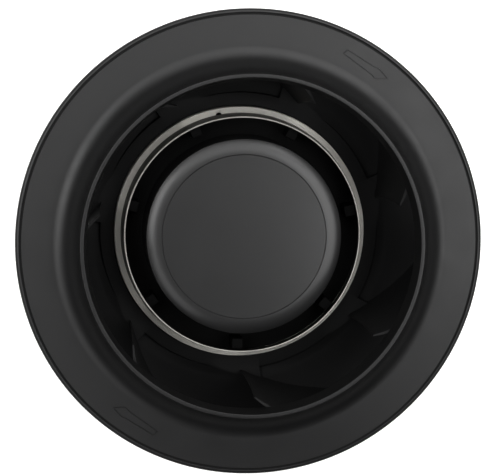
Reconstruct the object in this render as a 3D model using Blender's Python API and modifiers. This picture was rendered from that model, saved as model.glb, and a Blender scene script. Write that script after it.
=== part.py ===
"""Plug fan: a seven-blade backward-curved impeller driven by an external-rotor motor.

The fan stands on the rear face of its motor with the inlet up. The fan axis is +Z and the
mounting face is at z = 0. Lengths are in metres, and angles are in degrees.
"""

import math

import bmesh
import bpy
from mathutils import Matrix, Vector

# Fits between pieces that touch on the real fan
SEAT = 0.0003
SCREW_CLEARANCE = 0.0003

# Heights, stacked from the mounting face
HOUSING_HEIGHT = 0.0310
BELL_CLEARANCE = 0.0022
BELL_LENGTH = 0.0378
PLATE_CLEARANCE = 0.0045
PLATE_THICKNESS = 0.0022
RAMP_RISE = 0.0035
OUTLET_WIDTH = 0.0600
NECK_HEIGHT = 0.0193

# Impeller
BLADE_COUNT = 7
PITCH = 360 / BLADE_COUNT
FIRST_BLADE_ANGLE = 13.6
RIM_OVERHANG = 0.0055
SHROUD_WALL = 0.0021
RIM_BEAD_WIDTH = 0.0021
RIM_BEAD_DROP = 0.0040
RIM_GROOVE_WIDTH = 0.0008
RIM_GROOVE_DEPTH = 0.0009
FLANGE_RISE = 0.0014
THROAT_GAP = 0.0054
LIP_ROLL = 0.0018
LIP_DEPTH = 0.0095
NECK_FLARE = 0.0134
HUB_WIDTH = 0.0075
HUB_FLANGE_THICKNESS = 0.0020
HUB_WALL_RUN = 0.0003
RAMP_FADE_WIDTH = 0.0315
PLATE_RIM_WIDTH = 0.0095
RAMP_STEPS = 5
STEP_ANGLE = 0.15
GUSSET_ANGLE = 8.2
PATCH_ANGLE = 9.5
PATCH_WIDTH = 0.0045
RIB_COUNT = 14
RIB_HEIGHT = 0.0022
RIB_WIDTH = 0.0016
RIB_HUB_GAP = 0.0020
RIB_RIM_GAP = 0.0100
LUG_SIDE = 0.0060
LUG_FLANGE_GAP = 0.0011
LUG_WALL_GAP = 0.0038
LUG_LEAD_ANGLE = -2.6
LUG_HEIGHT = 0.0165

# Blade: radii of its leading edge, its spirals, its section, and shares of its top edge
BLADE_FOOT_GAP = 0.0009
BLADE_LEAN = 0.0048
BLADE_REACH = 0.0417
BLADE_TIP_MARGIN = 0.0004
BLADE_THICKNESS = 0.0018
FOOT_SPIRAL = 1.754
TOP_SPIRAL = 1.19
TOP_CAMBER = 1.55
EDGE_LEAN = 0.7
EDGE_BOW = 0.8
EDGE_REACH = 1.35
LOBE_DROP = 0.0020
LOBE_END = 0.10
NECK_END = 0.42
NOSE_LENGTH = 0.16
NOSE_SHARE = 0.30
TAIL_SHARE = 0.6

# Steel hub ring
RING_LEAN = 0.0040
RING_WALL = 0.0011
RING_HEIGHT = 0.0230
RING_FLANGE_GAP = 0.0042
RING_HOLE_RADIUS = 0.0016
RING_HOLE_ANGLE = 100.6
RING_HOLE_DROP = 0.0045

# Rotor bell, magnets and shaft
BELL_RADIUS = 0.0528
BELL_WALL = 0.0018
BELL_FACE_THICKNESS = 0.0020
BELL_SHOULDER = 0.0060
BELL_FLANGE_GAP = 0.0010
BELL_FLANGE_THICKNESS = 0.0014
BELL_BOSS_RADIUS = 0.0090
BELL_BOSS_LENGTH = 0.0055
FACE_LINE_INSET = 0.0073
MAGNET_THICKNESS = 0.0062
MAGNET_HEIGHT = 0.0285
AIR_GAP = 0.0009
SHAFT_RADIUS = 0.0040
SHAFT_TAIL = 0.0045
CIRCLIP_GROOVE_DEPTH = 0.0006
CIRCLIP_THICKNESS = 0.0008
CIRCLIP_WIDTH = 0.0026
CIRCLIP_OPENING = 60
WASHER_THICKNESS = 0.0005
WASHER_WIDTH = 0.0030
WASHER_DISH = 0.0005

# Ball bearings
BEARING_RADIUS = 0.0110
BEARING_WIDTH = 0.0070
RACE_THICKNESS = 0.0021
BALL_COUNT = 7
CAGE_RADIUS = 0.0006

# Stator
STACK_HEIGHT = 0.0220
STACK_BACK_SHARE = 0.516
TOOTH_COUNT = 12
TOOTH_WIDTH_SHARE = 0.16
SHOE_ROOT_SHARE = 0.094
SHOE_THICKNESS = 0.0022
SHOE_ANGLE = 12.5
INSULATOR_THICKNESS = 0.0012
LINER_THICKNESS = 0.0005
COIL_THICKNESS_SHARE = 0.05
COIL_DEPTH_SHARE = 0.753

# Stator housing
HOUSING_RADIUS = 0.0570
HOUSING_WALL = 0.0030
HOUSING_FRONT = 0.0033
HOUSING_CHAMFER = 0.0030
TUBE_WALL = 0.0029
TUBE_SHOULDER = 0.0020
STATOR_SHOULDER = 0.0020
STATOR_SHOULDER_HEIGHT = 0.0075
FIN_COUNT = 20
FIN_DEPTH = 0.0035
FIN_WIDTH = 0.0016
FIN_MARGIN = 0.0045
MOUNT_COUNT = 4
MOUNT_CIRCLE_INSET = 0.0095
MOUNT_BOSS_RADIUS = 0.0068
MOUNT_HOLE_RADIUS = 0.0025
MOUNT_HOLE_DEPTH = 0.0120
MOUNT_FIRST_ANGLE = 45

# Electronics. The places of the board's parts are shares of its radius
COVER_RECESS = 0.0030
COVER_THICKNESS = 0.0022
COVER_SCREW_INSET = 0.0085
COVER_SCREW_LENGTH = 0.0080
COVER_POST_RADIUS = 0.0037
COVER_RIB_SHARE = 0.53
COVER_RIB_WIDTH = 0.0015
COVER_RIB_HEIGHT = 0.0008
BOARD_INSET = 0.0170
BOARD_THICKNESS = 0.0016
BOARD_HEIGHT = 0.0150
BOARD_SCREW_COUNT = 3
BOARD_SCREW_INSET = 0.0060
BOARD_SCREW_LENGTH = 0.0070
BOARD_POST_RADIUS = 0.0033
BOARD_FIRST_ANGLE = 60
SCREW_RADIUS = 0.0012
SCREW_HEAD_RADIUS = 0.0026
SCREW_HEAD_HEIGHT = 0.0016
SCREW_SOCKET_RADIUS = 0.0012
SCREW_SOCKET_DEPTH = 0.0009
CAPACITOR_RADIUS = 0.0060
CAPACITOR_HEIGHT = 0.0080
CAPACITOR_PLACES = ((0.45, 0.30), (0.45, -0.30))
CHOKE_RADIUS = 0.0075
CHOKE_HOLE_RADIUS = 0.0030
CHOKE_HEIGHT = 0.0060
CHOKE_PLACE = (-0.30, -0.45)
MODULE_SIZE = (0.024, 0.013, 0.0045)
MODULE_PLACE = (-0.30, 0.30)
TERMINAL_SIZE = (0.0045, 0.0120)
TERMINAL_INSET = 0.0070
TERMINAL_ANGLE = 210
GROMMET_ANGLE = -90
GROMMET_HEIGHT = 0.0160
GROMMET_HOLE_RADIUS = 0.0048
GROMMET_FLANGE = 0.0024
GROMMET_FLANGE_THICKNESS = 0.0020
GROMMET_BORE_RADIUS = 0.0032
GLAND_PAD_SIDE = 0.0165
GLAND_PAD_PROUD = 0.0010

# Roundness of turned pieces
LARGE_STEPS = 48
MEDIUM_STEPS = 36
BORE_STEPS = MEDIUM_STEPS // 2
SMALL_STEPS = 14
SCREW_STEPS = 8
SHARP_ANGLE = 35

# Heights and radii that follow from the sizes above
RING_FLANGE_RADIUS = BELL_RADIUS + RING_FLANGE_GAP
LUG_RADIUS = RING_FLANGE_RADIUS + LUG_FLANGE_GAP + LUG_SIDE / 2
RING_BASE_RADIUS = LUG_RADIUS + LUG_SIDE / 2 + LUG_WALL_GAP + RING_WALL
RING_FOOT_RADIUS = RING_BASE_RADIUS - 1.6 * RING_WALL
RING_TOP_RADIUS = RING_BASE_RADIUS - RING_LEAN
BELL_FLANGE_RADIUS = RING_FOOT_RADIUS - BELL_FLANGE_GAP
FACE_LINE_RADIUS = BELL_RADIUS - FACE_LINE_INSET
HUB_EDGE_RADIUS = RING_BASE_RADIUS + HUB_WIDTH
RAMP_FADE_RADIUS = HUB_EDGE_RADIUS + RAMP_FADE_WIDTH
BLADE_FOOT_RADIUS = HUB_EDGE_RADIUS + BLADE_FOOT_GAP
BLADE_TOP_RADIUS = BLADE_FOOT_RADIUS + BLADE_LEAN
BLADE_TIP_RADIUS = BLADE_FOOT_RADIUS + BLADE_REACH
GUSSET_END_RADIUS = BLADE_FOOT_RADIUS * math.exp(math.radians(GUSSET_ANGLE) / FOOT_SPIRAL)
THROAT_RADIUS = BLADE_TOP_RADIUS + THROAT_GAP
PLATE_RADIUS = BLADE_TIP_RADIUS + BLADE_TIP_MARGIN
IMPELLER_RADIUS = PLATE_RADIUS + RIM_OVERHANG
BELL_BASE_Z = HOUSING_HEIGHT + BELL_CLEARANCE
BELL_TOP_Z = BELL_BASE_Z + BELL_LENGTH
BELL_INNER_RADIUS = BELL_RADIUS - BELL_WALL
BELL_INNER_TOP_Z = BELL_TOP_Z - BELL_FACE_THICKNESS
PLATE_BASE_Z = HOUSING_HEIGHT + PLATE_CLEARANCE
FLOOR_Z = PLATE_BASE_Z + PLATE_THICKNESS
HUB_TOP_Z = FLOOR_Z + RAMP_RISE
HUB_BASE_Z = PLATE_BASE_Z - 0.001
HUB_SEAT_Z = HUB_BASE_Z + HUB_FLANGE_THICKNESS
RING_BASE_Z = HUB_SEAT_Z + SEAT
RING_TOP_Z = RING_BASE_Z + RING_WALL + RING_HEIGHT
BELL_FLANGE_Z = RING_BASE_Z + RING_WALL + SEAT
RIM_UNDERSIDE_Z = FLOOR_Z + OUTLET_WIDTH
RIM_Z = RIM_UNDERSIDE_Z + SHROUD_WALL
LIP_Z = RIM_Z + NECK_HEIGHT
THROAT_Z = LIP_Z - LIP_DEPTH
NECK_FOOT_RADIUS = THROAT_RADIUS + NECK_FLARE
NECK_FOOT_Z = RIM_UNDERSIDE_Z + FLANGE_RISE
MAGNET_RADIUS = BELL_INNER_RADIUS - SEAT
MAGNET_INNER_RADIUS = MAGNET_RADIUS - MAGNET_THICKNESS
MAGNET_TOP_Z = BELL_TOP_Z - BELL_SHOULDER - SEAT
STACK_RADIUS = MAGNET_INNER_RADIUS - AIR_GAP
STACK_BACK_RADIUS = STACK_RADIUS * STACK_BACK_SHARE
TOOTH_WIDTH = STACK_RADIUS * TOOTH_WIDTH_SHARE
SHOE_ROOT_RADIUS = STACK_RADIUS * (1 - SHOE_ROOT_SHARE)
TOOTH_NECK = SHOE_ROOT_RADIUS - STACK_BACK_RADIUS
COIL_THICKNESS = STACK_RADIUS * COIL_THICKNESS_SHARE
COIL_DEPTH = TOOTH_NECK * COIL_DEPTH_SHARE
TUBE_SEAT_RADIUS = BEARING_RADIUS + SEAT
TUBE_RADIUS = TUBE_SEAT_RADIUS + TUBE_WALL
BELL_BOSS_Z = BELL_INNER_TOP_Z - BELL_BOSS_LENGTH
FRONT_BEARING_Z = BELL_BOSS_Z - 3 * SEAT - BEARING_WIDTH
TUBE_TOP_Z = FRONT_BEARING_Z + BEARING_WIDTH
STACK_Z = HOUSING_HEIGHT + STATOR_SHOULDER_HEIGHT + SEAT
HOUSING_CEILING_Z = HOUSING_HEIGHT - HOUSING_FRONT
REAR_BEARING_Z = HOUSING_CEILING_Z + 0.0065
SHAFT_END_Z = REAR_BEARING_Z - SHAFT_TAIL
WASHER_Z = REAR_BEARING_Z - SEAT - WASHER_THICKNESS - WASHER_DISH
CIRCLIP_Z = WASHER_Z - SEAT - CIRCLIP_THICKNESS
COVER_TOP_Z = COVER_RECESS + COVER_THICKNESS
COVER_RADIUS = HOUSING_RADIUS - HOUSING_WALL - SEAT
COVER_RIB_RADIUS = HOUSING_RADIUS * COVER_RIB_SHARE
COVER_SCREW_CIRCLE_RADIUS = HOUSING_RADIUS - COVER_SCREW_INSET
MOUNT_CIRCLE_RADIUS = HOUSING_RADIUS - MOUNT_CIRCLE_INSET
BOARD_RADIUS = HOUSING_RADIUS - BOARD_INSET
BOARD_SCREW_CIRCLE_RADIUS = BOARD_RADIUS - BOARD_SCREW_INSET
TERMINAL_RADIUS = BOARD_RADIUS - TERMINAL_INSET


def clear_scene():
    """Remove every object that the file opens with."""
    for obj in list(bpy.data.objects):
        bpy.data.objects.remove(obj)


def make_collection(name):
    """A new collection in the scene."""
    group = bpy.data.collections.new(name)
    bpy.context.scene.collection.children.link(group)
    return group


def make_material(name, colour, roughness, metallic=0.0):
    """A Principled material of one colour."""
    material = bpy.data.materials.new(name)
    material.use_nodes = True
    shader = material.node_tree.nodes["Principled BSDF"]
    shader.inputs["Base Color"].default_value = (*colour, 1.0)
    shader.inputs["Roughness"].default_value = roughness
    shader.inputs["Metallic"].default_value = metallic
    return material


clear_scene()
PARTS = make_collection("plug_fan")
CUTTERS = make_collection("cutters")
STATOR_EMPTY = bpy.data.objects.new("stator_frame", None)
ROTOR_EMPTY = bpy.data.objects.new("rotor_axis", None)
for empty in (STATOR_EMPTY, ROTOR_EMPTY):
    PARTS.objects.link(empty)

MOULDED_BLACK = make_material("moulded_black", (0.030, 0.030, 0.031), 0.42)
ZINC_STEEL = make_material("zinc_steel", (0.62, 0.60, 0.56), 0.30, 1.0)
COATED_BLACK = make_material("coated_black", (0.035, 0.036, 0.038), 0.38)
FERRITE = make_material("ferrite", (0.06, 0.06, 0.065), 0.60)
GROUND_STEEL = make_material("ground_steel", (0.70, 0.70, 0.70), 0.20, 1.0)
LAMINATION = make_material("lamination_steel", (0.38, 0.38, 0.40), 0.45, 1.0)
WHITE_NYLON = make_material("white_nylon", (0.75, 0.74, 0.70), 0.50)
COPPER = make_material("enamelled_copper", (0.62, 0.26, 0.10), 0.30, 1.0)
CAST_ALUMINIUM = make_material("cast_aluminium", (0.60, 0.61, 0.62), 0.45, 1.0)
BOARD_GREEN = make_material("board_green", (0.03, 0.16, 0.07), 0.45)
CAN_ALUMINIUM = make_material("can_aluminium", (0.66, 0.67, 0.69), 0.28, 1.0)
BLACK_RUBBER = make_material("black_rubber", (0.025, 0.025, 0.025), 0.75)


def polar(radius, angle, z=0.0):
    """The point at a radius and an angle round the fan axis."""
    turn = math.radians(angle)
    return Vector((radius * math.cos(turn), radius * math.sin(turn), z))


def arc(centre, radius, start, end, count):
    """Points (r, z) along an arc, both ends included."""
    angles = (start + (end - start) * i / (count - 1) for i in range(count))
    return [
        (
            centre[0] + radius * math.cos(math.radians(a)),
            centre[1] + radius * math.sin(math.radians(a)),
        )
        for a in angles
    ]


def add_object(name, data, material, parent=STATOR_EMPTY):
    """Put mesh or curve data in the fan as a named sub-part."""
    obj = bpy.data.objects.new(name, data)
    if not data.materials:
        data.materials.append(material)
    obj.parent = parent
    PARTS.objects.link(obj)
    return obj


def mesh_from(name, bm):
    """Turn a bmesh into a mesh with outward faces, smooth but for its sharp edges."""
    bmesh.ops.recalc_face_normals(bm, faces=bm.faces)
    mesh = bpy.data.meshes.new(name)
    bm.to_mesh(mesh)
    bm.free()
    mesh.shade_smooth()
    mesh.set_sharp_from_angle(angle=math.radians(SHARP_ANGLE))
    return mesh


def turned(name, profile, steps, material, parent=STATOR_EMPTY, closed=True):
    """Turn a section of (r, z) points about Z. An open section starts and ends on the axis."""
    points = list(profile)
    ahead = points[1:] + points[:1]
    area = sum(a[0] * b[1] - b[0] * a[1] for a, b in zip(points, ahead))
    if area > 0:
        points.reverse()
    count = len(points)
    edges = [(i, (i + 1) % count) for i in range(count if closed else count - 1)]
    mesh = bpy.data.meshes.new(name)
    mesh.from_pydata([(r, 0.0, z) for r, z in points], edges, [])
    obj = add_object(name, mesh, material, parent)
    screw = obj.modifiers.new("Turn", "SCREW")
    screw.axis = "Z"
    screw.angle = math.tau
    screw.steps = steps
    screw.render_steps = steps
    screw.use_merge_vertices = True
    screw.merge_threshold = 0.00001
    return obj


def plate_curve(name, outlines, thickness, z, material, parent=STATOR_EMPTY):
    """A flat piece from closed outlines of (x, y) points, the first outside and the rest holes."""
    curve = bpy.data.curves.new(name, "CURVE")
    curve.dimensions = "2D"
    curve.fill_mode = "BOTH"
    curve.extrude = thickness / 2
    for outline in outlines:
        spline = curve.splines.new("POLY")
        spline.points.add(len(outline) - 1)
        for point, (x, y) in zip(spline.points, outline):
            point.co = (x, y, 0.0, 1.0)
        spline.use_cyclic_u = True
    obj = add_object(name, curve, material, parent)
    obj.location.z = z + thickness / 2
    return obj


def add_cylinder(bm, radius, low, high, place, segments=SMALL_STEPS):
    """Add an upright cylinder from one height to another at a place (x, y)."""
    middle = Matrix.Translation((place[0], place[1], (low + high) / 2))
    bmesh.ops.create_cone(
        bm,
        cap_ends=True,
        segments=segments,
        radius1=radius,
        radius2=radius,
        depth=high - low,
        matrix=middle,
    )


def add_box(bm, size, place, angle=0.0):
    """Add a box of a size (x, y, z) whose middle is at place, turned about its own upright line."""
    matrix = Matrix.Translation(place) @ Matrix.Rotation(math.radians(angle), 4, "Z")
    bmesh.ops.create_cube(bm, size=1.0, matrix=matrix @ Matrix.Diagonal((*size, 1.0)))


def add_prism(bm, outline, low, high):
    """Add an upright prism on an outline of (x, y) points."""
    floor = [bm.verts.new((x, y, low)) for x, y in outline]
    roof = [bm.verts.new((x, y, high)) for x, y in outline]
    bm.faces.new(list(reversed(floor)))
    bm.faces.new(roof)
    for i in range(len(outline)):
        j = (i + 1) % len(outline)
        bm.faces.new((floor[i], floor[j], roof[j], roof[i]))


def combine(obj, tool_mesh, operation):
    """Join or cut a sub-part with a tool mesh, which stays beside the fan as a hidden guide."""
    tool = bpy.data.objects.new(f"{obj.name}_{operation.lower()}", tool_mesh)
    tool.hide_render = True
    tool.display_type = "WIRE"
    tool.parent = obj.parent
    CUTTERS.objects.link(tool)
    boolean = obj.modifiers.new(tool.name, "BOOLEAN")
    boolean.operation = operation
    boolean.solver = "EXACT"
    boolean.object = tool


def floor_share(radius):
    """How much of the floor's ramp is left at a radius: all at the hub, none near the rim."""
    way = (radius - HUB_EDGE_RADIUS) / (RAMP_FADE_RADIUS - HUB_EDGE_RADIUS)
    way = min(max(way, 0.0), 1.0)
    return 0.5 + 0.5 * math.cos(math.pi * way)


def foot_angle(radius):
    """The blade's foot line: its angle from the leading edge, a spiral of one pitch."""
    if radius <= BLADE_FOOT_RADIUS:
        return 0.0
    return math.degrees(FOOT_SPIRAL * math.log(radius / BLADE_FOOT_RADIUS))


def half_width(radius):
    """Half the angle that the slanting blade covers round the axis at a radius."""
    return math.degrees(BLADE_THICKNESS / radius)


def blade_foot(s):
    """(r, z) of the foot, where the blade stands on the high side of the floor."""
    radius = BLADE_FOOT_RADIUS * (BLADE_TIP_RADIUS / BLADE_FOOT_RADIUS) ** s
    return radius, FLOOR_Z + RAMP_RISE * floor_share(radius) + SEAT


def neck_point(way, offset):
    """(r, z) on the neck's inner wall, moved into the channel by offset. way runs from 0 to 1."""
    turn = math.pi / 2 * way
    drop = THROAT_Z - NECK_FOOT_Z + offset
    radius = THROAT_RADIUS - offset + (NECK_FLARE + offset) * (1 - math.cos(turn))
    return radius, THROAT_Z - drop * math.sin(turn)


def flange_underside(radius):
    """Height of the shroud's underside between the neck and the rim."""
    way = (IMPELLER_RADIUS - radius) / (IMPELLER_RADIUS - NECK_FOOT_RADIUS)
    return RIM_UNDERSIDE_Z + FLANGE_RISE * min(way, 1.0)


def blade_top(s):
    """(r, z) of the top edge: a free lobe in the throat, then the neck, then the flange."""
    if s < LOBE_END:
        way = s / LOBE_END
        start, end = (BLADE_TOP_RADIUS, THROAT_Z - LOBE_DROP), neck_point(0.0, SEAT)
        rise = math.sin(math.pi / 2 * way)
        return start[0] + (end[0] - start[0]) * way, start[1] + (end[1] - start[1]) * rise
    if s < NECK_END:
        return neck_point((s - LOBE_END) / (NECK_END - LOBE_END), SEAT)
    way = (s - NECK_END) / (1 - NECK_END)
    radius = NECK_FOOT_RADIUS + (BLADE_TIP_RADIUS - NECK_FOOT_RADIUS) * way
    return radius, flange_underside(radius) - SEAT


def leading_radius(t):
    """Radius of the leading edge from foot to top. It leans out, most of all near the foot."""
    reach = BLADE_TOP_RADIUS - BLADE_FOOT_RADIUS
    return BLADE_FOOT_RADIUS + reach * t * (EDGE_REACH - (EDGE_REACH - 1) * t)


def mixed(a, b, share):
    """A point between two (r, z) points."""
    return a[0] + (b[0] - a[0]) * share, a[1] + (b[1] - a[1]) * share


def blade_section(s, t):
    """(r, z) of the blade's middle surface, blended from its four edges."""
    foot, top = blade_foot(s), blade_top(s)
    corners = (blade_foot(0.0), blade_foot(1.0), blade_top(0.0), blade_top(1.0))
    front = (leading_radius(t), mixed(corners[0], corners[2], t)[1])
    back = mixed(corners[1], corners[3], t)
    across = mixed(foot, top, t)
    along = mixed(front, back, s)
    flat = mixed(mixed(corners[0], corners[1], s), mixed(corners[2], corners[3], s), t)
    return across[0] + along[0] - flat[0], across[1] + along[1] - flat[1]


def blade_point(s, t, side):
    """A point on a face of the blade. side is -1 on the pressure face and 1 on the suction face."""
    radius, z = blade_section(s, t)
    reach = max(math.log(radius / leading_radius(t)), 0.0)
    spiral = FOOT_SPIRAL + (TOP_SPIRAL - FOOT_SPIRAL) * t
    turn = spiral * reach + TOP_CAMBER * t * reach * reach
    nose = min(NOSE_SHARE + (1 - NOSE_SHARE) * s / NOSE_LENGTH, 1.0)
    tail = 1 - (1 - TAIL_SHARE) * s**4
    edge = EDGE_LEAN * t + EDGE_BOW * math.sin(math.pi * t)
    angle = math.degrees(turn) + edge * (1 - s)
    return polar(radius, angle + side * nose * tail * half_width(radius), z)


def lofted_blade_mesh():
    """Both faces of the blade as one closed loft from hub to shroud."""
    lobe = (0.0, 0.03, 0.065)
    neck = (LOBE_END + (NECK_END - LOBE_END) * way / 4 for way in range(5))
    along = (*lobe, *neck, 0.6, 0.8, 1.0)
    up = (0.0, 0.3, 0.6, 0.82, 0.94, 1.0)
    bm = bmesh.new()
    sides = {
        side: [[bm.verts.new(blade_point(s, t, side)) for s in along] for t in up]
        for side in (-1, 1)
    }
    for rows in sides.values():
        for low, high in zip(rows, rows[1:]):
            for i in range(len(along) - 1):
                bm.faces.new((low[i], low[i + 1], high[i + 1], high[i]))
    pressure, suction = sides[-1], sides[1]
    edges = [
        (pressure[0], suction[0]),
        (pressure[-1], suction[-1]),
        ([row[0] for row in pressure], [row[0] for row in suction]),
        ([row[-1] for row in pressure], [row[-1] for row in suction]),
    ]
    for one, other in edges:
        for i in range(len(one) - 1):
            bm.faces.new((one[i], one[i + 1], other[i + 1], other[i]))
    return mesh_from("blade", bm)


def make_blades():
    """Seven backward-curved blades, each turned by one pitch from the last."""
    mesh = lofted_blade_mesh()
    for k in range(BLADE_COUNT):
        blade = add_object(f"blade_{k + 1}", mesh, MOULDED_BLACK, ROTOR_EMPTY)
        blade.rotation_euler.z = math.radians(FIRST_BLADE_ANGLE + k * PITCH)


def make_front_shroud():
    """Moulded shroud: rim bead and groove, sloping flange, flared neck and rolled inlet lip."""
    groove = IMPELLER_RADIUS - RIM_BEAD_WIDTH
    flange_edge = groove - RIM_GROOVE_WIDTH
    neck_top_z = NECK_FOOT_Z + SHROUD_WALL
    lip_radius = SHROUD_WALL / 2
    lip_centre = (THROAT_RADIUS + LIP_ROLL + lip_radius, LIP_Z - lip_radius)
    outer_neck = [
        (
            THROAT_RADIUS + SHROUD_WALL + (NECK_FLARE - SHROUD_WALL) * (1 - math.cos(a)),
            THROAT_Z - (THROAT_Z - neck_top_z) * math.sin(a),
        )
        for a in (math.radians(step) for step in (0, 22, 44, 66, 90))
    ]
    profile = [
        *reversed(outer_neck),
        *arc(lip_centre, lip_radius, 0, 180, 5),
        *(neck_point(way / 4, 0.0) for way in range(5)),
        (flange_edge, flange_underside(flange_edge)),
        (IMPELLER_RADIUS - RIM_BEAD_WIDTH, RIM_Z - RIM_BEAD_DROP),
        (IMPELLER_RADIUS, RIM_Z - RIM_BEAD_DROP),
        (IMPELLER_RADIUS, RIM_Z - RIM_BEAD_WIDTH / 3),
        (IMPELLER_RADIUS - RIM_BEAD_WIDTH / 3, RIM_Z),
        (groove, RIM_Z),
        (groove, RIM_Z - RIM_GROOVE_DEPTH),
        (flange_edge, RIM_Z - RIM_GROOVE_DEPTH),
        (flange_edge, RIM_Z),
    ]
    turned("front_shroud", profile, LARGE_STEPS, MOULDED_BLACK, ROTOR_EMPTY)


def plate_columns(radius):
    """(angle, ramp) at a radius over one pitch: the floor rises to the next blade's flush patch.

    Past the blade the floor stays high as a gusset, and drops at the gusset's radial edge.
    """
    foot = foot_angle(radius)
    edge = half_width(max(radius, BLADE_FOOT_RADIUS)) + STEP_ANGLE
    patch = PATCH_ANGLE * min(max(1 - (radius - HUB_EDGE_RADIUS) / PATCH_WIDTH, 0.0), 1.0)
    start = max(foot + edge, GUSSET_ANGLE)
    end = PITCH + foot - edge - patch
    drop = PITCH + start - STEP_ANGLE
    ramps = [i / RAMP_STEPS for i in range(RAMP_STEPS + 1)]
    rising = [(start + (end - start) * ramp, ramp) for ramp in ramps]
    return [*rising, ((end + drop) / 2, 1.0), (drop, 1.0)]


def floor_radii():
    """Radii of the floor's rows: at the hub's wall, the patch's end, the gusset's end, then evenly."""
    outer = PLATE_RADIUS - PLATE_RIM_WIDTH
    even = (GUSSET_END_RADIUS + (outer - GUSSET_END_RADIUS) * i / 4 for i in range(5))
    return [HUB_EDGE_RADIUS + HUB_WALL_RUN, HUB_EDGE_RADIUS + PATCH_WIDTH, *even]


def make_back_plate():
    """Moulded disc: raised hub, ramped channel floors, seven lugs through the hub ring, ribs behind."""
    ring_clear = RING_BASE_RADIUS + SEAT
    rows = [
        (RING_FLANGE_RADIUS, HUB_SEAT_Z, 0),
        (ring_clear, HUB_SEAT_Z, 0),
        (ring_clear, HUB_TOP_Z, 0),
        (HUB_EDGE_RADIUS, HUB_TOP_Z, 0),
        *((radius, FLOOR_Z, RAMP_RISE) for radius in floor_radii()),
        (PLATE_RADIUS, FLOOR_Z, 0),
        (PLATE_RADIUS, PLATE_BASE_Z, 0),
        (ring_clear, PLATE_BASE_Z, 0),
        (ring_clear, HUB_BASE_Z, 0),
        (RING_FLANGE_RADIUS, HUB_BASE_Z, 0),
    ]
    bm = bmesh.new()
    loops = []
    for radius, z, rise in rows:
        columns = [
            (angle + k * PITCH, ramp)
            for k in range(BLADE_COUNT)
            for angle, ramp in plate_columns(radius)
        ]
        loops.append(
            [
                bm.verts.new(
                    polar(radius, FIRST_BLADE_ANGLE + a, z + rise * ramp * floor_share(radius))
                )
                for a, ramp in columns
            ]
        )
    count = len(loops[0])
    for loop, following in zip(loops, loops[1:] + loops[:1]):
        for i in range(count):
            j = (i + 1) % count
            bm.faces.new((loop[i], loop[j], following[j], following[i]))
    plate = add_object("back_plate", mesh_from("back_plate", bm), MOULDED_BLACK, ROTOR_EMPTY)
    combine(plate, plate_additions(), "UNION")


def plate_additions():
    """The lugs on the hub's flange and the ribs under the disc."""
    bm = bmesh.new()
    lug_low = (HUB_BASE_Z + HUB_SEAT_Z) / 2
    lug_high = HUB_SEAT_Z + LUG_HEIGHT
    for k in range(BLADE_COUNT):
        angle = FIRST_BLADE_ANGLE + LUG_LEAD_ANGLE + k * PITCH
        middle = polar(LUG_RADIUS, angle, (lug_low + lug_high) / 2)
        add_box(bm, (LUG_SIDE, LUG_SIDE, lug_high - lug_low), middle, angle)
    inner, outer = RING_BASE_RADIUS + RIB_HUB_GAP, PLATE_RADIUS - RIB_RIM_GAP
    low, high = PLATE_BASE_Z - RIB_HEIGHT, PLATE_BASE_Z + PLATE_THICKNESS / 3
    for k in range(RIB_COUNT):
        angle = FIRST_BLADE_ANGLE + k * 360 / RIB_COUNT
        middle = polar((inner + outer) / 2, angle, (low + high) / 2)
        add_box(bm, (outer - inner, RIB_WIDTH, high - low), middle, angle)
    return mesh_from("plate_additions", bm)


def lug_windows(low, high):
    """Square windows that let the back plate's lugs through a flange."""
    bm = bmesh.new()
    side = LUG_SIDE + 2 * SEAT
    for k in range(BLADE_COUNT):
        angle = FIRST_BLADE_ANGLE + LUG_LEAD_ANGLE + k * PITCH
        add_box(bm, (side, side, high - low), polar(LUG_RADIUS, angle, (low + high) / 2), angle)
    return bm


def make_hub_ring():
    """Pressed steel ring: an upright wall that leans in, on a flange gripped under the rotor."""
    profile = [
        (RING_TOP_RADIUS - RING_WALL, RING_TOP_Z),
        (RING_TOP_RADIUS, RING_TOP_Z),
        (RING_BASE_RADIUS - 0.0002, RING_BASE_Z + 2.5 * RING_WALL),
        (RING_BASE_RADIUS, RING_BASE_Z + RING_WALL),
        (RING_BASE_RADIUS - RING_WALL, RING_BASE_Z),
        (RING_FLANGE_RADIUS, RING_BASE_Z),
        (RING_FLANGE_RADIUS, RING_BASE_Z + RING_WALL),
        (RING_FOOT_RADIUS, RING_BASE_Z + RING_WALL),
    ]
    ring = turned("hub_ring", profile, LARGE_STEPS, ZINC_STEEL, ROTOR_EMPTY)
    cuts = lug_windows(RING_BASE_Z - SEAT, RING_BASE_Z + RING_WALL + SEAT)
    hole = polar(RING_TOP_RADIUS, RING_HOLE_ANGLE, RING_TOP_Z - RING_HOLE_DROP)
    aim = Vector((hole.x, hole.y, 0)).to_track_quat("Z", "Y").to_matrix().to_4x4()
    bmesh.ops.create_cone(
        cuts,
        cap_ends=True,
        segments=12,
        radius1=RING_HOLE_RADIUS,
        radius2=RING_HOLE_RADIUS,
        depth=8 * RING_WALL,
        matrix=Matrix.Translation(hole) @ aim,
    )
    combine(ring, mesh_from("ring_cuts", cuts), "DIFFERENCE")


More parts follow.
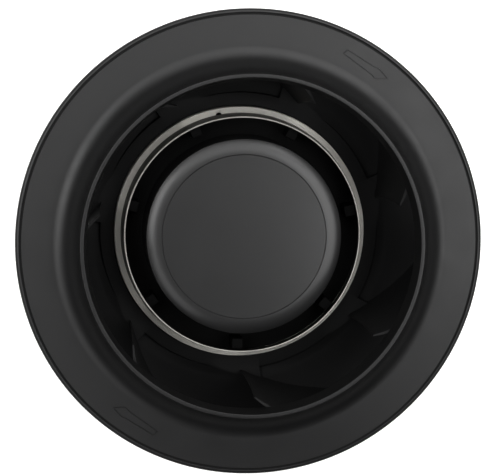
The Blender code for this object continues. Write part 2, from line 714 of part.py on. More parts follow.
def make_rotor_bell():
    """Deep-drawn cup: round shoulder, face with a turned line, drive flange and inner shaft boss."""
    shoulder = (BELL_RADIUS - BELL_SHOULDER, BELL_TOP_Z - BELL_SHOULDER)
    line = 0.0002
    flange_top = BELL_FLANGE_Z + BELL_FLANGE_THICKNESS
    bore = SHAFT_RADIUS + SEAT
    profile = [
        (0, BELL_TOP_Z),
        (FACE_LINE_RADIUS, BELL_TOP_Z),
        (FACE_LINE_RADIUS, BELL_TOP_Z - line),
        *((r, min(z, BELL_TOP_Z - line)) for r, z in arc(shoulder, BELL_SHOULDER, 80, 0, 5)),
        (BELL_RADIUS, flange_top),
        (BELL_FLANGE_RADIUS, flange_top),
        (BELL_FLANGE_RADIUS, BELL_FLANGE_Z),
        (BELL_RADIUS, BELL_FLANGE_Z),
        (BELL_RADIUS, BELL_BASE_Z),
        (BELL_INNER_RADIUS, BELL_BASE_Z),
        (BELL_INNER_RADIUS, BELL_TOP_Z - BELL_SHOULDER),
        (BELL_INNER_RADIUS - BELL_SHOULDER / 2, BELL_INNER_TOP_Z),
        (BELL_BOSS_RADIUS, BELL_INNER_TOP_Z),
        (BELL_BOSS_RADIUS, BELL_BOSS_Z),
        (bore, BELL_BOSS_Z),
        (bore, BELL_INNER_TOP_Z),
        (0, BELL_INNER_TOP_Z),
    ]
    bell = turned("rotor_bell", profile, MEDIUM_STEPS, COATED_BLACK, ROTOR_EMPTY, closed=False)
    windows = lug_windows(BELL_FLANGE_Z - SEAT, flange_top + SEAT)
    combine(bell, mesh_from("bell_windows", windows), "DIFFERENCE")


def ring_profile(inner, outer, low, high):
    """The square section of a plain ring."""
    return [(inner, high), (outer, high), (outer, low), (inner, low)]


def make_magnet_ring():
    """Bonded ferrite ring glued inside the bell."""
    profile = ring_profile(
        MAGNET_INNER_RADIUS, MAGNET_RADIUS, MAGNET_TOP_Z - MAGNET_HEIGHT, MAGNET_TOP_Z
    )
    turned("magnet_ring", profile, MEDIUM_STEPS, FERRITE, ROTOR_EMPTY)


def make_shaft():
    """Ground shaft, pressed in the bell's boss, with a groove for the circlip."""
    chamfer = SHAFT_RADIUS / 8
    neck = SHAFT_RADIUS - CIRCLIP_GROOVE_DEPTH
    groove_low = CIRCLIP_Z - SEAT
    groove_high = CIRCLIP_Z + CIRCLIP_THICKNESS + SEAT
    profile = [
        (0, BELL_INNER_TOP_Z - SEAT),
        (SHAFT_RADIUS, BELL_INNER_TOP_Z - SEAT),
        (SHAFT_RADIUS, groove_high),
        (neck, groove_high),
        (neck, groove_low),
        (SHAFT_RADIUS, groove_low),
        (SHAFT_RADIUS, SHAFT_END_Z + chamfer),
        (SHAFT_RADIUS - chamfer, SHAFT_END_Z),
        (0, SHAFT_END_Z),
    ]
    turned("shaft", profile, SMALL_STEPS, GROUND_STEEL, ROTOR_EMPTY, closed=False)


def make_circlip():
    """Spring clip in the shaft's groove, open at one side."""
    inner = SHAFT_RADIUS - CIRCLIP_GROOVE_DEPTH + SEAT
    start, end = CIRCLIP_OPENING / 2, 360 - CIRCLIP_OPENING / 2
    outside = arc((0, 0), inner + CIRCLIP_WIDTH, start, end, 13)
    inside = arc((0, 0), inner, end, start, 13)
    plate_curve(
        "shaft_circlip",
        [outside + inside],
        CIRCLIP_THICKNESS,
        CIRCLIP_Z,
        GROUND_STEEL,
        ROTOR_EMPTY,
    )


def make_preload_washer():
    """Dished spring washer between the circlip and the rear bearing."""
    inner = SHAFT_RADIUS + SEAT
    outer = inner + WASHER_WIDTH
    profile = [
        (inner, WASHER_Z + WASHER_DISH + WASHER_THICKNESS),
        (outer, WASHER_Z + WASHER_THICKNESS),
        (outer, WASHER_Z),
        (inner, WASHER_Z + WASHER_DISH),
    ]
    turned("preload_washer", profile, SMALL_STEPS, GROUND_STEEL, ROTOR_EMPTY)


def race_profile(wall, groove, base, towards):
    """A race: its plain wall, and a raceway that faces the balls. towards is 1 outwards, -1 inwards."""
    top, middle = base + BEARING_WIDTH, base + BEARING_WIDTH / 2
    track = wall + towards * RACE_THICKNESS
    depth = towards * RACE_THICKNESS / 4
    return [
        (wall, base),
        (track, base),
        (track, middle - groove),
        (track - depth, middle),
        (track, middle + groove),
        (track, top),
        (wall, top),
    ]


def ball_row_mesh(middle_z):
    """Balls and the cage that links them, as one ring whose thickness swells at each ball."""
    shaft_fit = SHAFT_RADIUS + SEAT
    pitch_radius = (shaft_fit + BEARING_RADIUS) / 2
    ball = (BEARING_RADIUS - shaft_fit) / 2 - RACE_THICKNESS + RACE_THICKNESS / 4 - SEAT
    reach = math.degrees(ball / pitch_radius)
    offsets = (-reach, -0.6 * reach, 0.6 * reach, reach)
    sides = 6
    bm = bmesh.new()
    loops = []
    for k in range(BALL_COUNT):
        for offset in offsets:
            across = math.radians(offset) * pitch_radius
            swell = math.sqrt(max(ball * ball - across * across, 0.0))
            thick = max(swell, CAGE_RADIUS)
            angle = k * 360 / BALL_COUNT + offset
            section = arc((pitch_radius, middle_z), thick, 0, 360 * (sides - 1) / sides, sides)
            loops.append([bm.verts.new(polar(r, angle, z)) for r, z in section])
    for loop, following in zip(loops, loops[1:] + loops[:1]):
        for i in range(sides):
            j = (i + 1) % sides
            bm.faces.new((loop[i], loop[j], following[j], following[i]))
    return mesh_from("ball_row", bm)


def make_bearing(name, base):
    """One deep-groove bearing. The inner race turns with the shaft and the outer one is held."""
    groove = BEARING_WIDTH / 4
    inner = race_profile(SHAFT_RADIUS + SEAT, groove, base, 1)
    outer = race_profile(BEARING_RADIUS, groove, base, -1)
    turned(f"{name}_bearing_inner_race", inner, SMALL_STEPS, GROUND_STEEL, ROTOR_EMPTY)
    turned(f"{name}_bearing_outer_race", outer, SMALL_STEPS, GROUND_STEEL)
    balls = ball_row_mesh(base + BEARING_WIDTH / 2)
    add_object(f"{name}_bearing_balls", balls, GROUND_STEEL)


def toothed_outline(shoe_angle, grow):
    """Outline of the stator's teeth and pole shoes, each face moved out by grow."""
    half = TOOTH_WIDTH / 2 + grow
    tip = STACK_RADIUS - grow
    points = []
    for k in range(TOOTH_COUNT):
        middle = k * 360 / TOOTH_COUNT
        root_angle = math.degrees(math.asin(half / STACK_BACK_RADIUS))
        neck_angle = math.degrees(math.asin(half / SHOE_ROOT_RADIUS))
        shoe_low = tip - SHOE_THICKNESS / 2
        one_side = [
            (STACK_BACK_RADIUS, root_angle),
            (SHOE_ROOT_RADIUS, neck_angle),
            (shoe_low, shoe_angle),
            (tip, shoe_angle),
        ]
        for radius, angle in one_side:
            points.append(polar(radius, middle - angle).to_2d())
        for radius, angle in reversed(one_side):
            points.append(polar(radius, middle + angle).to_2d())
    return points


def circle_outline(radius, count, centre=(0.0, 0.0)):
    """A closed round outline."""
    return arc(centre, radius, 0, 360 * (count - 1) / count, count)


def make_stator_core():
    """Stack of steel laminations, seated on the bearing tube's shoulder."""
    bore = circle_outline(TUBE_RADIUS + SEAT, BORE_STEPS)
    outline = toothed_outline(SHOE_ANGLE, 0.0)
    plate_curve("stator_core", [outline, bore], STACK_HEIGHT, STACK_Z, LAMINATION)


def make_insulators():
    """Moulded end plates that keep the windings off the laminations."""
    bore = circle_outline(TUBE_RADIUS + STATOR_SHOULDER + 2 * SEAT, BORE_STEPS)
    outline = toothed_outline(SHOE_ANGLE - 2, LINER_THICKNESS / 2)
    heights = {
        "rear_insulator": STACK_Z - SEAT - INSULATOR_THICKNESS,
        "front_insulator": STACK_Z + STACK_HEIGHT + SEAT,
    }
    for name, z in heights.items():
        plate_curve(name, [outline, bore], INSULATOR_THICKNESS, z, WHITE_NYLON)


def rounded_rectangle(width, height, corner):
    """Outline of a rectangle with rounded corners."""
    x, y = width / 2 - corner, height / 2 - corner
    corners = ((x, y, 0), (-x, y, 90), (-x, -y, 180), (x, -y, 270))
    points = []
    for cx, cy, start in corners:
        points += arc((cx, cy), corner, start, start + 90, 3)
    return points


def make_coils():
    """Twelve windings, one round each tooth."""
    inner_width = TOOTH_WIDTH + 2 * (LINER_THICKNESS + SEAT)
    inner_height = STACK_HEIGHT + 2 * (INSULATOR_THICKNESS + 2 * SEAT)
    outer = rounded_rectangle(
        inner_width + 2 * COIL_THICKNESS, inner_height + 2 * COIL_THICKNESS, COIL_THICKNESS
    )
    half_w, half_h = inner_width / 2, inner_height / 2
    hole = [(half_w, half_h), (-half_w, half_h), (-half_w, -half_h), (half_w, -half_h)]
    middle = STACK_BACK_RADIUS + (TOOTH_NECK + COIL_DEPTH / 6) / 2
    for k in range(TOOTH_COUNT):
        coil = plate_curve(f"coil_{k + 1}", [outer, hole], COIL_DEPTH, 0.0, COPPER)
        angle = k * 360 / TOOTH_COUNT
        coil.location = polar(middle, angle, STACK_Z + STACK_HEIGHT / 2)
        coil.rotation_euler = (math.pi / 2, 0.0, math.radians(angle) + math.pi / 2)


def housing_profile():
    """Section of the cast pot: wall, front plate, stator shoulder and bearing tube."""
    shoulder_radius = TUBE_RADIUS + STATOR_SHOULDER
    shoulder_z = HOUSING_HEIGHT + STATOR_SHOULDER_HEIGHT
    stop_radius = TUBE_SEAT_RADIUS - TUBE_SHOULDER
    return [
        (HOUSING_RADIUS - HOUSING_CHAMFER, HOUSING_HEIGHT),
        (HOUSING_RADIUS, HOUSING_HEIGHT - HOUSING_CHAMFER),
        (HOUSING_RADIUS, 0),
        (HOUSING_RADIUS - HOUSING_WALL, 0),
        (HOUSING_RADIUS - HOUSING_WALL, HOUSING_CEILING_Z),
        (TUBE_SEAT_RADIUS, HOUSING_CEILING_Z),
        (TUBE_SEAT_RADIUS, REAR_BEARING_Z + BEARING_WIDTH + SEAT),
        (stop_radius, REAR_BEARING_Z + BEARING_WIDTH + SEAT),
        (stop_radius, FRONT_BEARING_Z - SEAT),
        (TUBE_SEAT_RADIUS, FRONT_BEARING_Z - SEAT),
        (TUBE_SEAT_RADIUS, TUBE_TOP_Z),
        (TUBE_RADIUS, TUBE_TOP_Z),
        (TUBE_RADIUS, shoulder_z),
        (shoulder_radius, shoulder_z),
        (shoulder_radius, HOUSING_HEIGHT),
    ]


def ring_places(radius, count, first):
    """Places (x, y) of a pattern round the axis."""
    return [polar(radius, first + k * 360 / count).to_2d() for k in range(count)]


def cover_screw_places():
    """The cover's screws stand between the mounting bosses."""
    first = MOUNT_FIRST_ANGLE + 180 / MOUNT_COUNT + 14
    return ring_places(COVER_SCREW_CIRCLE_RADIUS, MOUNT_COUNT, first)


def board_screw_places():
    """Places of the circuit board's screws."""
    return ring_places(BOARD_SCREW_CIRCLE_RADIUS, BOARD_SCREW_COUNT, BOARD_FIRST_ANGLE)


def housing_additions():
    """Mounting bosses, posts for the cover and the board, the gland's pad, and the cooling fins.

    The two fins beside the gland are left out.
    """
    bm = bmesh.new()
    inside = HOUSING_CEILING_Z + HOUSING_FRONT / 2
    for place in ring_places(MOUNT_CIRCLE_RADIUS, MOUNT_COUNT, MOUNT_FIRST_ANGLE):
        add_cylinder(bm, MOUNT_BOSS_RADIUS, 0.0, inside, place)
    for place in cover_screw_places():
        add_cylinder(bm, COVER_POST_RADIUS, COVER_TOP_Z + SEAT, inside, place, 12)
    for place in board_screw_places():
        low = BOARD_HEIGHT + BOARD_THICKNESS + SEAT
        add_cylinder(bm, BOARD_POST_RADIUS, low, inside, place, 12)
    pad = HOUSING_WALL + 2 * GLAND_PAD_PROUD
    middle = polar(HOUSING_RADIUS - HOUSING_WALL / 2, GROMMET_ANGLE, GROMMET_HEIGHT)
    add_box(bm, (pad, GLAND_PAD_SIDE, GLAND_PAD_SIDE), middle, GROMMET_ANGLE)
    low, high = FIN_MARGIN, HOUSING_HEIGHT - FIN_MARGIN
    for k in range(1, FIN_COUNT - 1):
        angle = GROMMET_ANGLE + (k + 0.5) * 360 / FIN_COUNT
        middle = polar(HOUSING_RADIUS + FIN_DEPTH / 2 - 0.001, angle, (low + high) / 2)
        add_box(bm, (FIN_DEPTH + 0.001, FIN_WIDTH, high - low), middle, angle)
    return mesh_from("housing_additions", bm)


def housing_cuts():
    """Threaded holes, the window for the terminals and the hole for the grommet."""
    bm = bmesh.new()
    screw_hole = SCREW_RADIUS + SCREW_CLEARANCE
    for place in ring_places(MOUNT_CIRCLE_RADIUS, MOUNT_COUNT, MOUNT_FIRST_ANGLE):
        add_cylinder(bm, MOUNT_HOLE_RADIUS, -0.001, MOUNT_HOLE_DEPTH, place, 12)
    cover_low = COVER_TOP_Z
    for place in cover_screw_places():
        add_cylinder(bm, screw_hole, cover_low, cover_low + COVER_SCREW_LENGTH, place, SCREW_STEPS)
    board_low = BOARD_HEIGHT + BOARD_THICKNESS
    for place in board_screw_places():
        high = board_low + BOARD_SCREW_LENGTH
        add_cylinder(bm, screw_hole, board_low, high, place, SCREW_STEPS)
    window = tuple(side + 4 * SEAT for side in TERMINAL_SIZE)
    middle = polar(TERMINAL_RADIUS, TERMINAL_ANGLE, HOUSING_HEIGHT - HOUSING_FRONT / 2)
    add_box(bm, (*window, 2 * HOUSING_FRONT), middle, TERMINAL_ANGLE)
    gland = polar(HOUSING_RADIUS, GROMMET_ANGLE, GROMMET_HEIGHT)
    aim = polar(1.0, GROMMET_ANGLE).to_track_quat("Z", "Y").to_matrix().to_4x4()
    bmesh.ops.create_cone(
        bm,
        cap_ends=True,
        segments=SMALL_STEPS,
        radius1=GROMMET_HOLE_RADIUS,
        radius2=GROMMET_HOLE_RADIUS,
        depth=4 * HOUSING_WALL,
        matrix=Matrix.Translation(gland) @ aim,
    )
    return mesh_from("housing_cuts", bm)


def make_stator_housing():
    """Die-cast aluminium pot that carries the motor and is bolted to the appliance."""
    housing = turned("stator_housing", housing_profile(), MEDIUM_STEPS, CAST_ALUMINIUM)
    combine(housing, housing_additions(), "UNION")
    combine(housing, housing_cuts(), "DIFFERENCE")


def make_circuit_board():
    """Round circuit board on three posts."""
    hole = SCREW_RADIUS + SCREW_CLEARANCE
    holes = [circle_outline(hole, SCREW_STEPS, place) for place in board_screw_places()]
    edge = circle_outline(BOARD_RADIUS, 32)
    plate_curve("circuit_board", [edge, *holes], BOARD_THICKNESS, BOARD_HEIGHT, BOARD_GREEN)


def on_board(place):
    """(x, y) of a place that is given as shares of the board's radius."""
    return BOARD_RADIUS * place[0], BOARD_RADIUS * place[1]


def make_board_components():
    """Two capacitors and a choke under the board, the power module, and the winding terminals."""
    low = BOARD_HEIGHT - SEAT - CAPACITOR_HEIGHT
    bevel = CAPACITOR_RADIUS / 8
    can = [
        (0, BOARD_HEIGHT - SEAT),
        (CAPACITOR_RADIUS, BOARD_HEIGHT - SEAT),
        (CAPACITOR_RADIUS, low + bevel),
        (CAPACITOR_RADIUS - bevel, low),
        (0, low),
    ]
    for k, place in enumerate(CAPACITOR_PLACES):
        name = f"capacitor_{k + 1}"
        capacitor = turned(name, can, SMALL_STEPS, CAN_ALUMINIUM, closed=False)
        capacitor.location.xy = on_board(place)
    core = ring_profile(
        CHOKE_HOLE_RADIUS, CHOKE_RADIUS, BOARD_HEIGHT - SEAT - CHOKE_HEIGHT, BOARD_HEIGHT - SEAT
    )
    turned("choke", core, SMALL_STEPS, COPPER).location.xy = on_board(CHOKE_PLACE)
    bm = bmesh.new()
    middle = Vector((*on_board(MODULE_PLACE), BOARD_HEIGHT - SEAT - MODULE_SIZE[2] / 2))
    add_box(bm, MODULE_SIZE, middle)
    add_object("power_module", mesh_from("power_module", bm), MOULDED_BLACK)
    bm = bmesh.new()
    low = BOARD_HEIGHT + BOARD_THICKNESS + SEAT
    high = HOUSING_HEIGHT + 0.0015
    middle = polar(TERMINAL_RADIUS, TERMINAL_ANGLE, (low + high) / 2)
    add_box(bm, (*TERMINAL_SIZE, high - low), middle, TERMINAL_ANGLE)
    add_object("terminal_block", mesh_from("terminal_block", bm), WHITE_NYLON)


def make_screw(name, place, head_z, length):
    """Pan-head screw that goes up into a post. head_z is the height its head bears against."""
    under = head_z - SEAT
    rim = SCREW_HEAD_HEIGHT / 3
    profile = [
        (0, head_z + length),
        (SCREW_RADIUS, head_z + length),
        (SCREW_RADIUS, under),
        (SCREW_HEAD_RADIUS, under),
        (SCREW_HEAD_RADIUS, under - SCREW_HEAD_HEIGHT + rim),
        (SCREW_HEAD_RADIUS - rim, under - SCREW_HEAD_HEIGHT),
        (SCREW_SOCKET_RADIUS, under - SCREW_HEAD_HEIGHT),
        (SCREW_SOCKET_RADIUS, under - SCREW_HEAD_HEIGHT + SCREW_SOCKET_DEPTH),
        (0, under - SCREW_HEAD_HEIGHT + SCREW_SOCKET_DEPTH),
    ]
    screw = turned(name, profile, SCREW_STEPS, ZINC_STEEL, closed=False)
    screw.location.xy = place


def cover_cuts():
    """Notches round the mounting bosses and holes for the cover's screws."""
    bm = bmesh.new()
    low, high = COVER_RECESS - 0.002, COVER_TOP_Z + 0.001
    radius = MOUNT_BOSS_RADIUS + SEAT
    reach = HOUSING_RADIUS - MOUNT_CIRCLE_RADIUS
    outline = [(reach, -radius), (reach, radius), *arc((0, 0), radius, 90, 270, 9)]
    for place in ring_places(MOUNT_CIRCLE_RADIUS, MOUNT_COUNT, MOUNT_FIRST_ANGLE):
        turn = Matrix.Rotation(math.atan2(place.y, place.x), 2)
        add_prism(bm, [place + turn @ Vector(point) for point in outline], low, high)
    for place in cover_screw_places():
        add_cylinder(bm, SCREW_RADIUS + SCREW_CLEARANCE, low, high, place, SCREW_STEPS)
    return mesh_from("cover_cuts", bm)


def make_electronics_cover():
    """Moulded cover behind the board, with a round stiffening rib on its outside."""
    rib_z = COVER_RECESS - COVER_RIB_HEIGHT
    profile = [
        (0, COVER_TOP_Z),
        (COVER_RADIUS, COVER_TOP_Z),
        (COVER_RADIUS, COVER_RECESS),
        (COVER_RIB_RADIUS + COVER_RIB_WIDTH, COVER_RECESS),
        (COVER_RIB_RADIUS + COVER_RIB_WIDTH, rib_z),
        (COVER_RIB_RADIUS, rib_z),
        (COVER_RIB_RADIUS, COVER_RECESS),
        (0, COVER_RECESS),
    ]
    cover = turned("electronics_cover", profile, MEDIUM_STEPS, MOULDED_BLACK, closed=False)
    combine(cover, cover_cuts(), "DIFFERENCE")


def make_cable_grommet():
    """Rubber bush in the housing's side, where the supply cable passes."""
    outer_face = GLAND_PAD_PROUD + SEAT
    inner_face = -HOUSING_WALL - GLAND_PAD_PROUD - SEAT
    flange = GROMMET_HOLE_RADIUS + GROMMET_FLANGE
    neck = GROMMET_HOLE_RADIUS - SEAT
    profile = [
        (GROMMET_BORE_RADIUS, outer_face + GROMMET_FLANGE_THICKNESS),
        (neck, outer_face + GROMMET_FLANGE_THICKNESS),
        (flange, outer_face + GROMMET_FLANGE_THICKNESS / 2),
        (flange, outer_face),
        (neck, outer_face),
        (neck, inner_face),
        (flange - GROMMET_FLANGE / 2, inner_face),
        (neck, inner_face - GROMMET_FLANGE_THICKNESS),
        (GROMMET_BORE_RADIUS, inner_face - GROMMET_FLANGE_THICKNESS),
    ]
    grommet = turned("cable_grommet", profile, SMALL_STEPS, BLACK_RUBBER)
    grommet.location = polar(HOUSING_RADIUS, GROMMET_ANGLE, GROMMET_HEIGHT)
    grommet.rotation_mode = "QUATERNION"
    grommet.rotation_quaternion = polar(1.0, GROMMET_ANGLE).to_track_quat("Z", "Y")


def make_impeller():
    """Everything that the rotor turns as the fan wheel."""
    make_front_shroud()
    make_back_plate()
    make_blades()
    make_hub_ring()


def make_rotor():
    """The moving half of the motor."""
    make_rotor_bell()
    make_magnet_ring()
    make_shaft()
    make_circlip()
    make_preload_washer()


def make_stator():
    """The fixed half of the motor and its electronics."""
    make_stator_housing()
    make_stator_core()
    make_insulators()
    make_coils()
    make_circuit_board()
    make_board_components()
    make_electronics_cover()
    make_cable_grommet()
    for k, place in enumerate(board_screw_places()):
        make_screw(f"board_screw_{k + 1}", place, BOARD_HEIGHT, BOARD_SCREW_LENGTH)
    for k, place in enumerate(cover_screw_places()):
        make_screw(f"cover_screw_{k + 1}", place, COVER_RECESS, COVER_SCREW_LENGTH)


make_impeller()
make_rotor()
make_bearing("front", FRONT_BEARING_Z)
make_bearing("rear", REAR_BEARING_Z)
make_stator()
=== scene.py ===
import math

import bmesh
import bpy
from mathutils import Matrix, Vector


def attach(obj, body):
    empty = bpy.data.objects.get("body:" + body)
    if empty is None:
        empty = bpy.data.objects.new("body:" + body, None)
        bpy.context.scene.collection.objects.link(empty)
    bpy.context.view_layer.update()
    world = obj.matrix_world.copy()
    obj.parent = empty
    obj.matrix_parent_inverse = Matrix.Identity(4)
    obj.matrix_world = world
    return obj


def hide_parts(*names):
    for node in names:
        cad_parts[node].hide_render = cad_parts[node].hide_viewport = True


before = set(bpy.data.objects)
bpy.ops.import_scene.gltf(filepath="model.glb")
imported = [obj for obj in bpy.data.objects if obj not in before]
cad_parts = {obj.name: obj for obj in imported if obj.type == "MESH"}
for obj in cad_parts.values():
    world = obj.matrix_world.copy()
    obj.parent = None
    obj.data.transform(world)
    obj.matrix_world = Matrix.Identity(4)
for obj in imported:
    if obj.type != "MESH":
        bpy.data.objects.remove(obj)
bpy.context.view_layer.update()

MM = 0.001


# Stator housing: a die-cast aluminium pot, bolted to the appliance by four bosses in its rear.
# Its front plate carries the bearing tube, and short fins round its wall cool the electronics.
# It is cast in a steel die, so its corners are rounded and its skin is finely grained.

HOUSING_RADIUS = 57 * MM
CRISP_ANGLE = 32
FIN_COUNT = 20
FIN_PROUD = 2.5 * MM
FIN_SUNK = 1.2 * MM
FIN_WIDTH = 1.6 * MM
FIN_LENGTH = 22 * MM
FIN_MIDDLE = 15.5 * MM
MOUNT_CIRCLE = 47.5 * MM
MOUNT_TURN = 45
SCREW_CIRCLE = 48.5 * MM
SCREW_TURN = 104
BOARD_CIRCLE = 34 * MM
BOARD_TURN = 60
POST_TOP = 29
GLAND_TURN = -90
GLAND_HEIGHT = 16 * MM
GLAND_HOLE = 4.8 * MM
PAD_SIZE = (5 * MM, 16.5 * MM, 16.5 * MM)
PAD_MIDDLE = 55.5 * MM
LEAD_SLOT = (5.7 * MM, 13.2 * MM, 7 * MM)
LEAD_CIRCLE = 33 * MM
LEAD_TURN = 210


class Socket:
    """A value that runs through a finish. Sums on it add the Math nodes that work them out."""

    def __init__(self, tree, output=None):
        self.tree = tree
        self.output = output

    def node(self, kind, settings=None, inputs=None, output=0):
        """Add a node with its settings, feed its sockets, and give one of its outputs."""
        node = self.tree.nodes.new(kind)
        for name, value in (settings or {}).items():
            if name == "stops":
                ramp = node.color_ramp
                while len(ramp.elements) < len(value):
                    ramp.elements.new(1.0)
                for stop, (place, colour) in zip(ramp.elements, value):
                    stop.position = place
                    stop.color = (*colour, 1.0)
            else:
                setattr(node, name, value)
        for name, value in (inputs or {}).items():
            if isinstance(value, Socket):
                self.tree.links.new(value.output, node.inputs[name])
            else:
                node.inputs[name].default_value = value
        return Socket(self.tree, node.outputs[output])

    def maths(self, operation, *values):
        """Work out one Math operation on sockets and numbers."""
        return self.node("ShaderNodeMath", {"operation": operation}, dict(enumerate(values)))

    def __add__(self, other):
        return self.maths("ADD", self, other)

    __radd__ = __add__

    def __mul__(self, other):
        return self.maths("MULTIPLY", self, other)

    __rmul__ = __mul__

    def __sub__(self, other):
        return self.maths("SUBTRACT", self, other)

    def __rsub__(self, other):
        return self.maths("SUBTRACT", other, self)

    def __pow__(self, other):
        return self.maths("POWER", self, other)

    def clamped(self):
        """The value, kept between 0 and 1."""
        return self.maths("MINIMUM", self.maths("MAXIMUM", self, 0.0), 1.0)

    def wave(self, length):
        """Rises and falls from 0 to 1 once in a length."""
        return self.maths("SINE", self * (math.tau / length)) * 0.5 + 0.5

    def noise(self, size, detail=2.0, roughness=0.5):
        """Cloudy variation round 0.5, with spots of about a size in metres. self is a place."""
        inputs = {"Vector": self, "Scale": 1 / size, "Detail": detail, "Roughness": roughness}
        return self.node("ShaderNodeTexNoise", None, inputs)

    def stretched(self, x, y, z):
        """A place with its axes scaled."""
        inputs = {0: self, 1: (x, y, z)}
        return self.node("ShaderNodeVectorMath", {"operation": "MULTIPLY"}, inputs)

    def part(self, axis):
        """One coordinate of a place."""
        return self.node("ShaderNodeSeparateXYZ", None, {0: self}, axis)

    def from_axis(self):
        """The distance of a place from the fan axis."""
        x, y = self.part("X"), self.part("Y")
        return (x * x + y * y) ** 0.5

    def between(self, dark, light):
        """A colour from dark to light as this value runs from 0 to 1."""
        factor, first, second, colour_result = 0, 6, 7, 2
        inputs = {factor: self, first: (*dark, 1.0), second: (*light, 1.0)}
        return self.node("ShaderNodeMix", {"data_type": "RGBA"}, inputs, colour_result)


class Finish:
    """A material for the fan: the shader's fixed values, and the place its patterns start from."""

    def __init__(self, name, **fixed):
        self.material = bpy.data.materials.new(name)
        self.material.use_nodes = True
        self.tree = self.material.node_tree
        self.shader = self.tree.nodes["Principled BSDF"]
        for socket, value in fixed.items():
            self.shader.inputs[socket.replace("_", " ")].default_value = value
        self.place = Socket(self.tree).node("ShaderNodeTexCoord", output="Object")

    def feed(self, socket, value):
        """Let a pattern vary one socket of the shader."""
        self.tree.links.new(value.output, self.shader.inputs[socket])

    def relief(self, height, depth, strength=1.0):
        """Raise the surface by a pattern: height from 0 to 1, depth in metres."""
        inputs = {"Height": height, "Distance": depth, "Strength": strength}
        self.feed("Normal", height.node("ShaderNodeBump", None, inputs, "Normal"))


def polar(radius, angle, z=0.0):
    """The point at a radius and an angle in degrees round the fan axis."""
    turn = math.radians(angle)
    return Vector((radius * math.cos(turn), radius * math.sin(turn), z))


def places(circle, first, count):
    """Points (x, y) spread evenly over a circle round the fan axis, from a first angle."""
    return [polar(circle, first + 360 * k / count).xy for k in range(count)]


def turned(angle):
    """A turn round the fan axis, in degrees."""
    return Matrix.Rotation(math.radians(angle), 4, "Z")


def aimed(direction):
    """A turn that points Z along a direction."""
    return direction.to_track_quat("Z", "Y").to_matrix().to_4x4()


def rounded(corners, steps=5):
    """A closed section from corners (r, z, rounding radius), all in millimetres."""
    points = []
    count = len(corners)
    for i, (r, z, rounding) in enumerate(corners):
        here = Vector((r, z)) * MM
        if rounding == 0:
            points.append(here)
            continue
        before = (Vector(corners[i - 1][:2]) * MM - here).normalized()
        after = (Vector(corners[(i + 1) % count][:2]) * MM - here).normalized()
        half = before.angle(after) / 2
        reach = rounding * MM / math.tan(half)
        middle = here + (before + after).normalized() * (rounding * MM / math.sin(half))
        start = (here + before * reach - middle).normalized()
        end = (here + after * reach - middle).normalized()
        for k in range(steps + 1):
            points.append(middle + start.slerp(end, k / steps) * rounding * MM)
    return points


def shade(mesh):
    """Shade a mesh smooth, and keep its corners crisp."""
    mesh.shade_smooth()
    mesh.set_sharp_from_angle(angle=math.radians(CRISP_ANGLE))


def shape_mesh(bm, name="shape"):
    """A mesh with its faces turned outwards."""
    bmesh.ops.recalc_face_normals(bm, faces=bm.faces)
    mesh = bpy.data.meshes.new(name)
    bm.to_mesh(mesh)
    bm.free()
    return mesh


def piece(name, bm, finish, body, slot, *replaced):
    """Finish a mesh as a piece of the fan that rides on a body and stands for CAD nodes."""
    mesh = shape_mesh(bm, name)
    shade(mesh)
    mesh.materials.append(finish.material)
    obj = bpy.data.objects.new(name, mesh)
    bpy.context.scene.collection.objects.link(obj)
    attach(obj, body)
    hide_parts(*replaced)
    return obj


def lathe(bm, section, steps, place=(0.0, 0.0)):
    """Turn a closed section (r, z) about an upright line. Points on the line stay single."""
    on_line = 1e-9
    rings = []
    for r, z in section:
        if abs(r) < on_line:
            ring = [bm.verts.new((*place, z))] * steps
        else:
            points = [polar(r, 360 * k / steps, z) for k in range(steps)]
            ring = [bm.verts.new(point + Vector((*place, 0.0))) for point in points]
        rings.append(ring)
    for i, ring in enumerate(rings):
        below = rings[(i + 1) % len(rings)]
        if ring[0] is ring[1] and below[0] is below[1]:
            continue
        for k in range(steps):
            corners = (ring[k], ring[(k + 1) % steps], below[(k + 1) % steps], below[k])
            face = list(dict.fromkeys(corners))
            if len(face) > 2:
                bm.faces.new(face)


def soft_block(bm, size, matrix, bevel, taper=1.0):
    """A block with rounded edges. Its outer end along X can be narrower than its root."""
    made = bmesh.ops.create_cube(bm, size=1.0)
    for vert in made["verts"]:
        vert.co = Vector(a * b for a, b in zip(vert.co, size))
        if vert.co.x > 0:
            vert.co.y *= taper
            vert.co.z *= 1 - (1 - taper) * size[1] / size[2]
    edges = list({edge for vert in made["verts"] for edge in vert.link_edges})
    soft = {"segments": 3, "profile": 0.6, "affect": "EDGES", "clamp_overlap": True}
    out = bmesh.ops.bevel(bm, geom=edges, offset=bevel, **soft)
    verts = {v for f in out["faces"] for v in f.verts}
    verts |= {v for v in made["verts"] if v.is_valid}
    bmesh.ops.transform(bm, matrix=matrix, verts=list(verts))


def add_peg(bm, radius, low, high, matrix, steps=32):
    """A round peg along the matrix's Z, for cutting holes."""
    along = matrix @ Matrix.Translation((0, 0, (low + high) / 2))
    ends = {"radius1": radius, "radius2": radius, "cap_ends": True}
    bmesh.ops.create_cone(bm, segments=steps, depth=high - low, matrix=along, **ends)


def carve(obj, shape, operation="DIFFERENCE"):
    """Cut a shape out of a piece, or join one to it, and keep the result as the piece's mesh."""
    tool = bpy.data.objects.new("tool", shape)
    bpy.context.scene.collection.objects.link(tool)
    boolean = obj.modifiers.new("carve", "BOOLEAN")
    boolean.operation = operation
    boolean.solver = "EXACT"
    boolean.object = tool
    bpy.context.view_layer.update()
    carved = obj.evaluated_get(bpy.context.evaluated_depsgraph_get())
    mesh = bpy.data.meshes.new_from_object(carved)
    obj.modifiers.remove(boolean)
    obj.data = mesh
    bpy.data.objects.remove(tool)
    shade(mesh)


